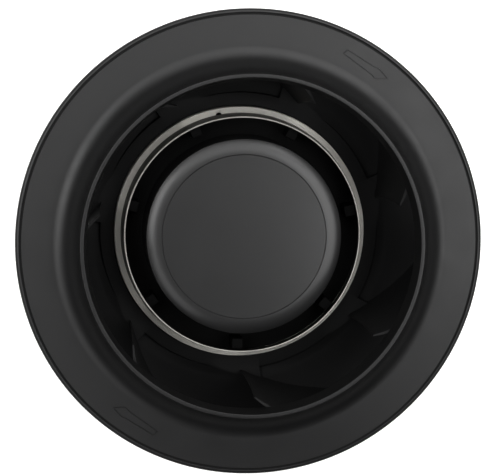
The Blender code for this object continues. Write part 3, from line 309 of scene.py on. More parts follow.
cast_aluminium = Finish("cast_aluminium", Metallic=1.0, Specular_IOR_Level=0.5)
grain = cast_aluminium.place.noise(0.9 * MM, 3.0, 0.6)
clouds = cast_aluminium.place.noise(14 * MM, 2.0)
cast_aluminium.feed("Base Color", clouds.between((0.42, 0.43, 0.44), (0.58, 0.59, 0.60)))
cast_aluminium.feed("Roughness", 0.42 + grain * 0.16 + clouds * 0.06)
cast_aluminium.relief(grain + clouds * 0.4, 0.05 * MM, 0.7)

pot_section = [
    (57, 31, 3.2), (57, 0, 0.7), (54, 0, 0.5), (54, 27.7, 1.5),
    (11.3, 27.7, 0.3), (11.3, 41.5, 0), (9.3, 41.5, 0), (9.3, 55.3, 0), (11.3, 55.3, 0),
    (11.3, 62.6, 0.3), (14.2, 62.6, 0.6), (14.2, 38.5, 0), (16.2, 38.5, 0.4), (16.2, 31, 1.0),
]
housing = bmesh.new()
lathe(housing, rounded(pot_section), 180)
stator_housing = piece(
    "stator_housing_pot", housing, cast_aluminium, "stator", "cast_aluminium", "stator_housing"
)

additions = bmesh.new()
fin_place = Matrix.Translation((HOUSING_RADIUS + (FIN_PROUD - FIN_SUNK) / 2, 0, FIN_MIDDLE))
fin_size = (FIN_PROUD + FIN_SUNK, FIN_WIDTH, FIN_LENGTH)
for k in range(1, FIN_COUNT - 1):
    turn = turned(GLAND_TURN + (k + 0.5) * 360 / FIN_COUNT)
    soft_block(additions, fin_size, turn @ fin_place, 0.45 * MM, taper=0.8)
pad_place = turned(GLAND_TURN) @ Matrix.Translation((PAD_MIDDLE, 0, GLAND_HEIGHT))
soft_block(additions, PAD_SIZE, pad_place, 0.8 * MM)

# Each kind of post: its circle, first angle, count, radius, foot, rounding and smoothness.
mount_boss = (MOUNT_CIRCLE, MOUNT_TURN, 4, 6.8, 0.0, 0.8, 48)
cover_post = (SCREW_CIRCLE, SCREW_TURN, 4, 3.7, 5.5, 0.4, 32)
board_post = (BOARD_CIRCLE, BOARD_TURN, 3, 3.3, 16.9, 0.3, 32)
for circle, first, count, radius, foot, edge, steps in (mount_boss, cover_post, board_post):
    post_section = [(0, foot, 0), (radius, foot, edge), (radius, POST_TOP, 0), (0, POST_TOP, 0)]
    for place in places(circle, first, count):
        lathe(additions, rounded(post_section), steps, place)
carve(stator_housing, shape_mesh(additions), "UNION")

cuts = bmesh.new()
bolt_hole = [(0, -1, 0), (3.1, -1, 0), (3.1, 0, 0), (2.5, 0.6, 0), (2.5, 12, 0), (0, 13.4, 0)]
for place in places(MOUNT_CIRCLE, MOUNT_TURN, 4):
    lathe(cuts, rounded(bolt_hole), 32, place)
gland_aim = aimed(polar(1.0, GLAND_TURN))
gland_axis = Matrix.Translation((0, 0, GLAND_HEIGHT)) @ gland_aim
add_peg(cuts, GLAND_HOLE, 48 * MM, 63 * MM, gland_axis, 48)
slot_place = Matrix.Translation(polar(LEAD_CIRCLE, LEAD_TURN, POST_TOP * MM)) @ turned(LEAD_TURN)
soft_block(cuts, LEAD_SLOT, slot_place, 0.4 * MM)
carve(stator_housing, shape_mesh(cuts))


# Stator: a stack of punched steel sheets with twelve teeth, between two white nylon end
# insulators, with a coil of enamelled copper wire wound round each tooth and held by its shoe.

COIL_COUNT = 12


def finish_nodes(finish, *names):
    """Give CAD nodes that stay as they are a finish of their own."""
    for name in names:
        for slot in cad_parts[name].material_slots:
            slot.material = finish.material


lamination = Finish("lamination_steel", Metallic=1.0)
sheets = lamination.place.part("Z").wave(0.5 * MM)
lamination.feed("Base Color", sheets.between((0.20, 0.20, 0.21), (0.40, 0.40, 0.41)))
lamination.feed("Roughness", 0.40 + lamination.place.noise(1.5 * MM) * 0.2)
lamination.relief(sheets, 0.05 * MM)
finish_nodes(lamination, "stator_core")

nylon = Finish("white_nylon", Roughness=0.5)
mould = nylon.place.noise(1.2 * MM, 3.0)
nylon.feed("Base Color", mould.between((0.68, 0.66, 0.60), (0.80, 0.78, 0.73)))
nylon.relief(mould, 0.02 * MM)
finish_nodes(nylon, "front_insulator", "rear_insulator")

copper = Finish("enamelled_copper", Metallic=1.0, Coat_Weight=0.6, Coat_Roughness=0.15)
wires = copper.place.from_axis().wave(0.8 * MM)
copper.feed("Base Color", wires.between((0.28, 0.09, 0.03), (0.72, 0.30, 0.11)))
copper.feed("Roughness", 0.22 + copper.place.noise(2.0 * MM) * 0.15)
copper.relief(wires, 0.2 * MM)
finish_nodes(copper, *(f"coil_{k + 1}" for k in range(COIL_COUNT)))


# Ball bearings, shaft, spring washer and circlip: hardened steel, ground bright and oiled.
# The shaft is pressed in the bell and turns in two bearings inside the housing's tube.

ground_steel = Finish("ground_steel", Metallic=1.0, Anisotropic=0.3)
grinding = ground_steel.place.stretched(300, 300, 6000).noise(1.0)
ground_steel.feed("Base Color", grinding.between((0.52, 0.52, 0.53), (0.66, 0.66, 0.67)))
ground_steel.feed("Roughness", 0.14 + grinding * 0.16)
ground_steel.relief(grinding, 0.01 * MM)
finish_nodes(ground_steel, "shaft", "shaft_circlip", "preload_washer")
for part in ("inner_race", "outer_race", "balls"):
    finish_nodes(ground_steel, f"front_bearing_{part}", f"rear_bearing_{part}")


# Circuit board: green board with bright pads, two capacitors in aluminium cans, a wound choke,
# a black power module, and a white terminal block that the winding leads are pressed in. Three
# zinc-plated screws hold it to the housing's posts.

board = Finish("board_green", Coat_Weight=0.4, Coat_Roughness=0.2)
tracks = board.place.node(
    "ShaderNodeTexVoronoi",
    {"distance": "MANHATTAN", "feature": "F1"},
    {"Vector": board.place, "Scale": 260.0},
)
lines = (tracks * 2.2).clamped()
board.feed("Base Color", lines.between((0.03, 0.20, 0.08), (0.012, 0.10, 0.04)))
board.feed("Roughness", 0.35 + board.place.noise(2 * MM) * 0.2)
board.relief(lines, 0.05 * MM)
finish_nodes(board, "circuit_board")

can = Finish("can_aluminium", Metallic=1.0)
drawn = can.place.stretched(2500, 2500, 200).noise(1.0)
can.feed("Base Color", drawn.between((0.56, 0.57, 0.59), (0.70, 0.71, 0.73)))
can.feed("Roughness", 0.22 + drawn * 0.15)
can.relief(drawn, 0.01 * MM)
finish_nodes(can, "capacitor_1", "capacitor_2")


def satin_plastic(name, colour, roughness, gloss):
    """Black glass-filled moulding: fine die grain, faint flow marks and a satin skin."""
    finish = Finish(name, Specular_IOR_Level=gloss)
    grain = finish.place.noise(0.35 * MM, 2.0, 0.6)
    flow = finish.place.stretched(1.0, 1.0, 0.3).noise(16 * MM, 3.0, 0.55)
    light = tuple(c * 1.35 for c in colour)
    finish.feed("Base Color", flow.between(colour, light))
    finish.feed("Roughness", roughness - 0.09 + grain * 0.06 + flow * 0.15)
    finish.relief(grain + flow * 0.5, 0.006 * MM, 0.5)
    return finish


moulded_black = satin_plastic("moulded_black", (0.003, 0.003, 0.0032), 0.43, 0.47)

zinc_steel = Finish("zinc_steel", Metallic=1.0)
drawn = zinc_steel.place.stretched(120, 120, 2600).noise(1.0, 3.0, 0.6)
spangle = zinc_steel.place.noise(5 * MM, 2.0)
zinc_steel.feed("Base Color", spangle.between((0.46, 0.44, 0.41), (0.58, 0.56, 0.53)))
zinc_steel.feed("Roughness", 0.24 + drawn * 0.14 + spangle * 0.06)
zinc_steel.relief(drawn, 0.012 * MM)

finish_nodes(copper, "choke")
finish_nodes(moulded_black, "power_module")
finish_nodes(nylon, "terminal_block")
finish_nodes(zinc_steel, "board_screw_1", "board_screw_2", "board_screw_3")


# Electronics cover: a black moulded disc that closes the pot behind the board. It is notched
# round the four bosses, stiffened by a round rib, and held by four screws.

NOTCH_RADIUS = 7.1 * MM
NOTCH_REACH = 9.5 * MM
CUT_LOW = 1 * MM
CUT_HIGH = 7 * MM

cover_section = [
    (0, 5.2, 0), (53.7, 5.2, 0.2), (53.7, 3, 0.5), (31.7, 3, 0.3), (31.7, 2.2, 0.3),
    (30.2, 2.2, 0.3), (30.2, 3, 0.3), (0, 3, 0),
]
cover = bmesh.new()
lathe(cover, rounded(cover_section, 4), 144)
electronics_cover = piece(
    "electronics_cover_disc", cover, moulded_black, "stator", "moulded_black", "electronics_cover"
)

cuts = bmesh.new()
notch = [Vector((NOTCH_REACH, -NOTCH_RADIUS, 0)), Vector((NOTCH_REACH, NOTCH_RADIUS, 0))]
notch += [polar(NOTCH_RADIUS, 90 + 180 * i / 24) for i in range(25)]
for k, place in enumerate(places(MOUNT_CIRCLE, MOUNT_TURN, 4)):
    turn = turned(MOUNT_TURN + 90 * k)
    low = [cuts.verts.new(Vector((*place, CUT_LOW)) + turn @ point) for point in notch]
    high = [cuts.verts.new(vert.co + Vector((0, 0, CUT_HIGH - CUT_LOW))) for vert in low]
    cuts.faces.new(low)
    cuts.faces.new(high)
    for i in range(len(low)):
        j = (i + 1) % len(low)
        cuts.faces.new((low[i], low[j], high[j], high[i]))
for place in places(SCREW_CIRCLE, SCREW_TURN, 4):
    add_peg(cuts, 1.5 * MM, CUT_LOW, CUT_HIGH, Matrix.Translation((*place, 0)))
carve(electronics_cover, shape_mesh(cuts))

screw_section = [
    (0, 11, 0), (1.2, 11, 0.3), (1.2, 2.7, 0), (2.6, 2.7, 0.15), (2.6, 1.1, 0.6),
    (1.3, 1.1, 0.15), (1.2, 2.0, 0.1), (0, 2.0, 0),
]
for k, place in enumerate(places(SCREW_CIRCLE, SCREW_TURN, 4)):
    screw = bmesh.new()
    lathe(screw, rounded(screw_section, 4), 48, place)
    name, node = f"cover_screw_head_{k + 1}", f"cover_screw_{k + 1}"
    piece(name, screw, zinc_steel, "stator", "zinc_steel", node)


# Cable grommet: a black rubber bush, snapped in the hole of the housing's pad, that the supply
# cable passes. Its outer flange is domed, and its skin is dull.

rubber = Finish("black_rubber", Specular_IOR_Level=0.35)
bloom = rubber.place.noise(1.1 * MM, 3.0)
rubber.feed("Base Color", bloom.between((0.012, 0.012, 0.012), (0.028, 0.028, 0.028)))
rubber.feed("Roughness", 0.62 + bloom * 0.2)
rubber.relief(bloom, 0.02 * MM)

grommet_section = [
    (3.2, 3.3, 0.5), (5.6, 3.3, 1.2), (7.2, 1.6, 0.5), (7.2, 1.3, 0.1), (4.5, 1.3, 0.1),
    (4.5, -4.3, 0.1), (6.0, -4.3, 0.2), (4.5, -6.3, 0.3), (3.2, -6.3, 0.3),
]
grommet = bmesh.new()
lathe(grommet, rounded(grommet_section, 4), 64)
grommet_place = Matrix.Translation(polar(HOUSING_RADIUS, GLAND_TURN, GLAND_HEIGHT)) @ gland_aim
bmesh.ops.transform(grommet, matrix=grommet_place, verts=grommet.verts)
piece("cable_grommet_bush", grommet, rubber, "stator", "black_rubber", "cable_grommet")


# Magnet ring: dull grey sintered ferrite, glued inside the rotor bell.

ferrite = Finish("ferrite")
sinter = ferrite.place.noise(0.5 * MM, 4.0, 0.7)
ferrite.feed("Base Color", sinter.between((0.035, 0.035, 0.038), (0.09, 0.09, 0.095)))
ferrite.feed("Roughness", 0.5 + sinter * 0.25)
ferrite.relief(sinter, 0.04 * MM)
finish_nodes(ferrite, "magnet_ring")


# Rotor bell: a cup drawn from steel sheet and coated black; past its wall, the flange gets a
# darker, matt black as painted shade. Its face has one turned line, its shoulder is a shallow dome
# that ends in a tight bend, and its drive flange is pierced for the seven lugs of the wheel.

BELL_FACE = 71
DOME_RADIUS = 21.5
DOME_START = 44.95
DOME_SLOPES = (2, 24)
BELL_SHADE_FROM = 53.3 * MM
BLADE_COUNT = 7
PITCH = 360 / BLADE_COUNT
FIRST_BLADE = 13.6
LUG_SIDE = 6 * MM
LUG_CIRCLE = 61.1 * MM
LUG_LEAD = -2.6
WINDOW_SLACK = 0.6 * MM

coated_black = Finish(
    "coated_black", Specular_IOR_Level=0.42, Coat_Weight=0.4, Coat_Roughness=0.22
)
peel = coated_black.place.noise(0.8 * MM, 2.0)
turned_marks = coated_black.place.from_axis().wave(0.7 * MM)
haze = coated_black.place.noise(18 * MM, 2.0)
coated_black.feed("Base Color", haze.between((0.006, 0.006, 0.0062), (0.009, 0.009, 0.0093)))
coated_black.feed("Roughness", 0.38 + haze * 0.06 + peel * 0.03)
coated_black.relief(peel * 0.7 + turned_marks * 0.3, 0.006 * MM, 0.5)
# deep_black: the blades' and back plate's duller moulding; on the shroud it is also painted shade
# in the groove and throat.
deep_black = satin_plastic("deep_black", (0.0035, 0.0035, 0.0036), 0.56, 0.22)
# A darker, matt black as painted shade: the bell's flange in the trough, and the hub and lugs
# under the steel ring.
painted_shade_black = satin_plastic("painted_shade_black", (0.002, 0.002, 0.002), 0.65, 0.1)


def arc_points(centre, radius, start, end, count):
    """Points (r, z) along an arc, between two angles in degrees."""
    turns = [math.radians(start + (end - start) * i / (count - 1)) for i in range(count)]
    return [(centre[0] + radius * math.cos(a), centre[1] + radius * math.sin(a)) for a in turns]


def coat_faces(obj, finish, chosen):
    """Give the faces of a piece whose middles pass a test another finish."""
    obj.data.materials.append(finish.material)
    for face in obj.data.polygons:
        if chosen(face.center):
            face.material_index = len(obj.data.materials) - 1


def lug_windows(low, high):
    """Square windows for the lugs, from one height to another."""
    bm = bmesh.new()
    side = LUG_SIDE + WINDOW_SLACK
    for k in range(BLADE_COUNT):
        turn = FIRST_BLADE + LUG_LEAD + k * PITCH
        place = Matrix.Translation(polar(LUG_CIRCLE, turn, (low + high) / 2)) @ turned(turn)
        soft_block(bm, (side, side, high - low), place, 0.3 * MM)
    return shape_mesh(bm)


dome_centre = (DOME_START - 0.035 * DOME_RADIUS, BELL_FACE - DOME_RADIUS)
dome_angles = (90 - DOME_SLOPES[0], 90 - DOME_SLOPES[1])
dome = [(r, z, 0) for r, z in arc_points(dome_centre, DOME_RADIUS, *dome_angles, 12)]
bell_section = [
    (0, BELL_FACE, 0), (44.5, BELL_FACE, 0.1), (44.7, 70.75, 0), (44.9, BELL_FACE, 0.1),
    *dome, (53.1, 69.1, 0.6),
    (53.1, 39.6, 0.5), (66.24, 39.6, 0.4), (66.24, 38.2, 0.4), (52.8, 38.2, 0.2),
    (52.8, 33.2, 0.5), (51.0, 33.2, 0.3), (51.0, 69, 2.5), (9, 69, 1.0), (9, 63.5, 0.4),
    (4.3, 63.5, 0.2), (4.3, 69, 0), (0, 69, 0),
]
bell = bmesh.new()
lathe(bell, rounded(bell_section, 10), 192)
rotor_bell = piece("rotor_bell_cup", bell, coated_black, "rotor", "coated_black", "rotor_bell")
carve(rotor_bell, lug_windows(37 * MM, 41 * MM))
# The flange's faces get the darker, matt black: painted shade.
coat_faces(rotor_bell, painted_shade_black, lambda middle: middle.xy.length > BELL_SHADE_FROM)


# Hub ring: pressed from zinc-plated steel sheet. Its flange is gripped under the rotor, and over
# a soft skirt its wall leans in towards a rolled grey edge. Its wall is given a nearly black steel
# finish: painted shade. One small round hole is pierced near the wall's foot.

WALL_SHADE_FROM = 48 * MM
EDGE_FROM = 60 * MM
HOLE_RADIUS = 1.7 * MM
HOLE_DEPTH = 3 * MM
HOLE_PLACE = (65.8 * MM, 100.1, 46.9 * MM)
HOLE_AIM = (1.0, 100.1, 0.9)

zinc_sheet = Finish("zinc_sheet")
rolled = zinc_sheet.place.stretched(120, 120, 2600).noise(1.0, 3.0, 0.6)
spangle = zinc_sheet.place.noise(4 * MM, 2.0)
zinc_sheet.feed("Base Color", spangle.between((0.72, 0.70, 0.65), (0.84, 0.82, 0.77)))
zinc_sheet.feed("Metallic", 0.15 + spangle * 0.2)
zinc_sheet.feed("Roughness", 0.40 + rolled * 0.12 + spangle * 0.06)
zinc_sheet.relief(rolled, 0.012 * MM)

# A nearly black steel for the hub ring's wall: painted shade, with faint drawing streaks.
painted_shade_steel = Finish("painted_shade_steel", Metallic=0.9)
streaks = painted_shade_steel.place.stretched(2600, 2600, 90).noise(1.0)
painted_shade_steel.feed("Base Color", streaks.between((0.018, 0.017, 0.015), (0.06, 0.056, 0.05)))
painted_shade_steel.feed("Roughness", 0.32 + streaks * 0.12)
painted_shade_steel.relief(streaks, 0.01 * MM)

rolled_edge = Finish("rolled_edge", Metallic=0.4)
worn = rolled_edge.place.noise(3 * MM, 3.0)
rolled_edge.feed("Base Color", worn.between((0.23, 0.225, 0.21), (0.33, 0.32, 0.30)))
rolled_edge.feed("Roughness", 0.36 + worn * 0.14)
rolled_edge.relief(worn, 0.01 * MM)

ring_section = [
    (63.85, 60.9, 0.25), (64.8, 60.9, 0.35), (64.85, 60.0, 0), (65.65, 47.1, 0.5),
    (68.8, 45.2, 0.7), (69.0, 37.9, 0.6), (67.9, 36.8, 0.5), (57.0, 36.8, 0.3),
    (57.0, 37.9, 0.3), (67.9, 37.9, 0.3), (67.7, 44.6, 0.5), (65.1, 46.4, 0.8),
    (64.2, 60.1, 0.1), (63.85, 60.3, 0.1),
]
ring = bmesh.new()
lathe(ring, rounded(ring_section, 6), 192)
hub_ring = piece("hub_ring_pressing", ring, zinc_sheet, "rotor", "zinc_steel", "hub_ring")
carve(hub_ring, lug_windows(36 * MM, 39 * MM))
cuts = bmesh.new()
hole_axis = Matrix.Translation(polar(*HOLE_PLACE)) @ aimed(polar(*HOLE_AIM))
add_peg(cuts, HOLE_RADIUS, -HOLE_DEPTH, HOLE_DEPTH, hole_axis)
carve(hub_ring, shape_mesh(cuts))
# The wall's faces get the nearly black steel: painted shade.
coat_faces(hub_ring, painted_shade_steel, lambda middle: middle.z > WALL_SHADE_FROM)
coat_faces(hub_ring, rolled_edge, lambda middle: middle.z > EDGE_FROM)


# Back plate: one black moulding with the blades. Its hub stands over the channels, each channel
# floor ramps up to the next blade, and seven square lugs reach up through the steel ring's flange.

HUB_EDGE = 76.5 * MM
HUB_TOP = 41.2 * MM
HUB_SHADE_TO = 69 * MM
FLOOR = 37.7 * MM
RAMP_RISE = 3.5 * MM
RAMP_FADE = 108 * MM
BLADE_FOOT = 77.4 * MM
BLADE_THICKNESS = 1.8 * MM
FOOT_SPIRAL = 1.754
GUSSET_ANGLE = 8.2
PATCH_ANGLE = 9.5
PATCH_WIDTH = 4.5 * MM
DROP_LEAD = 0.45
DROP_CURVE = ((0.28, 0.95), (0.16, 0.7), (0.06, 0.12))
HUB_ROWS = ((57.0, 36.5), (69.3, 36.5), (69.3, 41.0), (69.5, 41.2), (76.1, 41.2))
EDGE_ROWS = ((76.35, 41.12), (76.5, 40.95))
INNER_ROWS = (76.75, 77.1, 77.8, 78.6, 79.5, 80.3, 81.0, 82.0, 83.0)
MIDDLE_ROWS = tuple(84.0 + (110.0 - 84.0) * i / 14 for i in range(15))
OUTER_ROWS = (113.0, 116.0, 118.8)
RIM_ROWS = ((119.3, 37.6), (119.5, 37.4), (119.5, 35.7), (119.3, 35.5))
REAR_ROWS = ((69.3, 35.5), (69.3, 34.5), (57.0, 34.5))
LUG_LENGTH = 17.4 * MM
LUG_MIDDLE = 44.3 * MM
RIB_COUNT = 14
RIB_SIZE = (38.5 * MM, 1.6 * MM, 3.0 * MM)
RIB_MIDDLE = (90.25 * MM, 0, 34.8 * MM)


def floor_share(radius):
    """How much of the floor's ramp is left at a radius."""
    way = min(max((radius - HUB_EDGE) / (RAMP_FADE - HUB_EDGE), 0.0), 1.0)
    return 0.5 + 0.5 * math.cos(math.pi * way)


def foot_angle(radius):
    """The blade's foot line: its angle from the leading edge."""
    if radius <= BLADE_FOOT:
        return 0.0
    return math.degrees(FOOT_SPIRAL * math.log(radius / BLADE_FOOT))


def half_width(radius):
    """Half the angle that the slanting blade covers at a radius."""
    return math.degrees(BLADE_THICKNESS / radius)


def plate_columns(radius):
    """(angle, ramp) over one pitch: a rising floor, a flush patch, a gusset and a round drop."""
    foot = foot_angle(radius)
    edge = half_width(max(radius, BLADE_FOOT)) + 0.1
    patch = PATCH_ANGLE * min(max(1 - (radius - HUB_EDGE) / PATCH_WIDTH, 0.0), 1.0)
    start = max(foot + edge, GUSSET_ANGLE)
    end = PITCH + foot - edge - patch
    drop = PITCH + start
    rising = [(start + (end - start) * i / 20, i / 20) for i in range(21)]
    high = [(end + (drop - DROP_LEAD - end) * i / 6, 1.0) for i in range(1, 7)]
    return [*rising, *high, *((drop - before, ramp) for before, ramp in DROP_CURVE)]


def plate_level(kind, z, radius, ramp):
    """Height of the plate at a place. Where the ramp is flush, it fills the hub's round edge."""
    if kind == "floor":
        return z + RAMP_RISE * ramp * floor_share(radius)
    if kind == "edge" and ramp == 1.0:
        return HUB_TOP
    return z


rows = [("flat", r * MM, z * MM) for r, z in HUB_ROWS]
rows += [("edge", r * MM, z * MM) for r, z in EDGE_ROWS]
rows += [("floor", r * MM, FLOOR) for r in (*INNER_ROWS, *MIDDLE_ROWS, *OUTER_ROWS)]
rows += [("flat", r * MM, z * MM) for r, z in (*RIM_ROWS, *REAR_ROWS)]
plate = bmesh.new()
loops = []
for kind, radius, z in rows:
    loop = []
    for k in range(BLADE_COUNT):
        for turn, ramp in plate_columns(radius):
            level = plate_level(kind, z, radius, ramp)
            loop.append(plate.verts.new(polar(radius, FIRST_BLADE + turn + k * PITCH, level)))
    loops.append(loop)
for loop, following in zip(loops, loops[1:] + loops[:1]):
    for i in range(len(loop)):
        j = (i + 1) % len(loop)
        plate.faces.new((loop[i], loop[j], following[j], following[i]))
upright = Matrix.Rotation(math.radians(-90), 4, "Y")
for k in range(BLADE_COUNT):
    turn = FIRST_BLADE + LUG_LEAD + k * PITCH
    place = Matrix.Translation(polar(LUG_CIRCLE, turn, LUG_MIDDLE)) @ turned(turn) @ upright
    soft_block(plate, (LUG_LENGTH, LUG_SIDE, LUG_SIDE), place, 0.5 * MM, taper=0.97)
for k in range(RIB_COUNT):
    place = turned(FIRST_BLADE + k * 360 / RIB_COUNT) @ Matrix.Translation(RIB_MIDDLE)
    soft_block(plate, RIB_SIZE, place, 0.35 * MM)
back_plate = piece(
    "back_plate_moulding", plate, deep_black, "rotor", "moulded_black", "back_plate"
)
# The hub and lugs under the steel ring get the darker, matt black: painted shade.
coat_faces(back_plate, painted_shade_black, lambda middle: middle.xy.length < HUB_SHADE_TO)


# Blades: seven thin backward-curved blades, moulded with the back plate and welded to the shroud.
# Each foot follows a spiral, the top leans back under the neck, and the edge ends in a free lobe.

IMPELLER_RADIUS = 125 * MM
THROAT = 87.6 * MM
THROAT_Z = 109.6 * MM
NECK_FLARE = 13.4 * MM
NECK_FOOT = 101 * MM
NECK_FOOT_Z = 99.1 * MM
UNDERSIDE_FALL = 1.4 * MM
BLADE_TOP = 82.2 * MM
BLADE_TIP = 119.1 * MM
SINK = 0.3 * MM
LOBE_END = 0.10
LOBE_DROP = 2 * MM
NECK_END = 0.42
NOSE_LENGTH = 0.16
NOSE_SHARE = 0.34
TAIL_SHARE = 0.6
EDGE_LEAN = 0.35
TOP_SPIRAL = 1.19
TOP_CURL = 1.55
EDGE_TWIST = 0.7
EDGE_BELLY = 0.8
LOBE_STEPS = (0.0, 0.004, 0.012, 0.025, 0.04, 0.055, 0.07, 0.085)


def blade_foot(s):
    """(r, z) of the foot, sunk a little in the floor's high side."""
    radius = BLADE_FOOT * (BLADE_TIP / BLADE_FOOT) ** s
    return radius, FLOOR + RAMP_RISE * floor_share(radius) - SINK


def neck_point(way, offset):
    """(r, z) on the neck's inner wall, moved into the channel by offset."""
    turn = math.pi / 2 * way
    drop = THROAT_Z - NECK_FOOT_Z + offset
    radius = THROAT - offset + (NECK_FLARE + offset) * (1 - math.cos(turn))
    return radius, THROAT_Z - drop * math.sin(turn)


def flange_underside(radius):
    """Height of the flange's lower face, which falls from the neck towards the rim."""
    return NECK_FOOT_Z - UNDERSIDE_FALL * (radius - NECK_FOOT) / (IMPELLER_RADIUS - NECK_FOOT)


def blade_top(s):
    """(r, z) of the top edge: a free lobe, then along the neck and the flange, a little sunk."""
    if s < LOBE_END:
        way = s / LOBE_END
        start, end = (BLADE_TOP, THROAT_Z - LOBE_DROP), neck_point(0.0, -SINK)
        rise = math.sin(math.pi / 2 * way)
        return start[0] + (end[0] - start[0]) * way, start[1] + (end[1] - start[1]) * rise
    if s < NECK_END:
        return neck_point((s - LOBE_END) / (NECK_END - LOBE_END), -SINK)
    radius = NECK_FOOT + (BLADE_TIP - NECK_FOOT) * (s - NECK_END) / (1 - NECK_END)
    return radius, flange_underside(radius) + SINK


def mixed(a, b, share):
    """A point between two (r, z) points."""
    return a[0] + (b[0] - a[0]) * share, a[1] + (b[1] - a[1]) * share


def leading_radius(t):
    """Radius of the leading edge from foot to top."""
    return BLADE_FOOT + (BLADE_TOP - BLADE_FOOT) * t * (1 + EDGE_LEAN - EDGE_LEAN * t)


def blade_point(s, t, side):
    """A point on a face of the blade, -1 for the pressure face and 1 for the suction face."""
    foot_front, foot_back = blade_foot(0.0), blade_foot(1.0)
    top_front, top_back = blade_top(0.0), blade_top(1.0)
    front = (leading_radius(t), mixed(foot_front, top_front, t)[1])
    back = mixed(foot_back, top_back, t)
    across, along = mixed(blade_foot(s), blade_top(s), t), mixed(front, back, s)
    flat = mixed(mixed(foot_front, foot_back, s), mixed(top_front, top_back, s), t)
    radius, z = across[0] + along[0] - flat[0], across[1] + along[1] - flat[1]
    reach = max(math.log(radius / leading_radius(t)), 0.0)
    spiral = FOOT_SPIRAL + (TOP_SPIRAL - FOOT_SPIRAL) * t
    turn = math.degrees(spiral * reach + TOP_CURL * t * reach * reach)
    turn += (EDGE_TWIST * t + EDGE_BELLY * math.sin(math.pi * t)) * (1 - s)
    nose = min(NOSE_SHARE + (1 - NOSE_SHARE) * s / NOSE_LENGTH, 1.0)
    tail = 1 - (1 - TAIL_SHARE) * s**4
    return polar(radius, turn + side * nose * tail * half_width(radius), z)


along = [*LOBE_STEPS, LOBE_END]
along += [LOBE_END + (NECK_END - LOBE_END) * i / 14 for i in range(1, 15)]
along += [NECK_END + (1 - NECK_END) * i / 12 for i in range(1, 13)]
up = [i / 24 for i in range(23)] + [0.94, 0.97, 1.0]
for k in range(BLADE_COUNT):
    blade = bmesh.new()
    grids = []
    for side in (-1, 1):
        grid = [[blade.verts.new(blade_point(s, t, side)) for s in along] for t in up]
        for low, high in zip(grid, grid[1:]):
            for i in range(len(along) - 1):
                blade.faces.new((low[i], low[i + 1], high[i + 1], high[i]))
        grids.append(grid)
    borders = [
        (grid[0], grid[-1], [row[0] for row in grid], [row[-1] for row in grid]) for grid in grids
    ]
    for one, other in zip(*borders):
        for i in range(len(one) - 1):
            blade.faces.new((one[i], one[i + 1], other[i + 1], other[i]))
    bmesh.ops.transform(blade, matrix=turned(FIRST_BLADE + k * PITCH), verts=blade.verts)
    name, node = f"blade_{k + 1}_moulding", f"blade_{k + 1}"
    piece(name, blade, deep_black, "rotor", "moulded_black", node)


# Front shroud: one black moulding, from the rolled lip of the inlet down the flared neck to the
# flat flange, the groove and the bead at its rim. The groove and the throat get a duller black as
# painted shade. Two arrows for the turning direction are engraved in the flange.

FLANGE_FOOT = 106 * MM
FLANGE_EDGE = 121.8 * MM
FLANGE_HIGH = 100.85 * MM
FLANGE_FALL = 1.05 * MM
UNDERSIDE_END = 122.4 * MM
NECK_REACH = 14.3 * MM
NECK_RISE = 18.05 * MM
GROOVE_SPAN = (121.7 * MM, 123.1 * MM)
GROOVE_FLOOR = 98 * MM
THROAT_SHADE_TO = 89.6 * MM
LIP_SHADE_BELOW = 118.7 * MM
ENGRAVING = 0.6 * MM
HALF_STROKE = 0.27 * MM
OVERCUT = 1 * MM
ARROW = (
    (49.8, 100.8), (52.1, 102.7), (66.5, 93.4), (68.8, 92.6),
    (73.3, 87.4), (66.6, 87.3), (65.2, 89.3),
)


def flange_top(radius):
    """Height of the flange's upper face, between the neck's foot and the groove."""
    return FLANGE_HIGH - FLANGE_FALL * (radius - FLANGE_FOOT) / (FLANGE_EDGE - FLANGE_FOOT)


def offset_outline(outline, distance):
    """A closed outline moved outwards by a distance, with its corners kept."""
    moved = []
    for i, point in enumerate(outline):
        before = (point - outline[i - 1]).normalized()
        after = (outline[(i + 1) % len(outline)] - point).normalized()
        normal = Vector((before.y + after.y, -before.x - after.x)).normalized()
        stretch = 1 / max(normal.dot(Vector((before.y, -before.x))), 0.4)
        moved.append(point + normal * distance * stretch)
    return moved


def is_painted_shade(middle):
    """Whether a face lies in the groove or inside the throat, where the duller black is painted
    shade.
    """
    radius = middle.xy.length
    in_groove = GROOVE_SPAN[0] < radius < GROOVE_SPAN[1] and middle.z > GROOVE_FLOOR
    return in_groove or radius < THROAT_SHADE_TO and middle.z < LIP_SHADE_BELOW


flange_radii = [FLANGE_EDGE - (FLANGE_EDGE - FLANGE_FOOT) * i / 8 for i in range(8)]
section = [(radius, flange_top(radius)) for radius in flange_radii]
for i in range(33):
    turn = math.pi / 2 * (1 - i / 34)
    radius = FLANGE_FOOT - NECK_REACH * math.cos(turn)
    section.append((radius, FLANGE_HIGH + NECK_RISE * (1 - math.sin(turn))))
section += arc_points((91.4 * MM, 118.8 * MM), 0.3 * MM, 20, 90, 6)
section += arc_points((89.9 * MM, 118.75 * MM), 0.35 * MM, 90, 180, 7)
section += [neck_point(i / 24, 0.0) for i in range(25)]
under_radii = [NECK_FOOT + (UNDERSIDE_END - NECK_FOOT) * i / 6 for i in range(1, 7)]
section += [(radius, flange_underside(radius)) for radius in under_radii]
bead = [
    (122.9, 95.8, 0.5), (125, 95.8, 0.7), (125, 99.7, 1.6), (123.0, 99.7, 0.25),
    (123.0, 98.7, 0.1), (121.8, 98.7, 0.1),
]
section += rounded([(122.5, 97.9, 0), *bead, (121.8, 99.8, 0)])[1:-1]
shroud = bmesh.new()
lathe(shroud, section, 288)
front_shroud = piece(
    "front_shroud_moulding", shroud, moulded_black, "rotor", "moulded_black", "front_shroud"
)

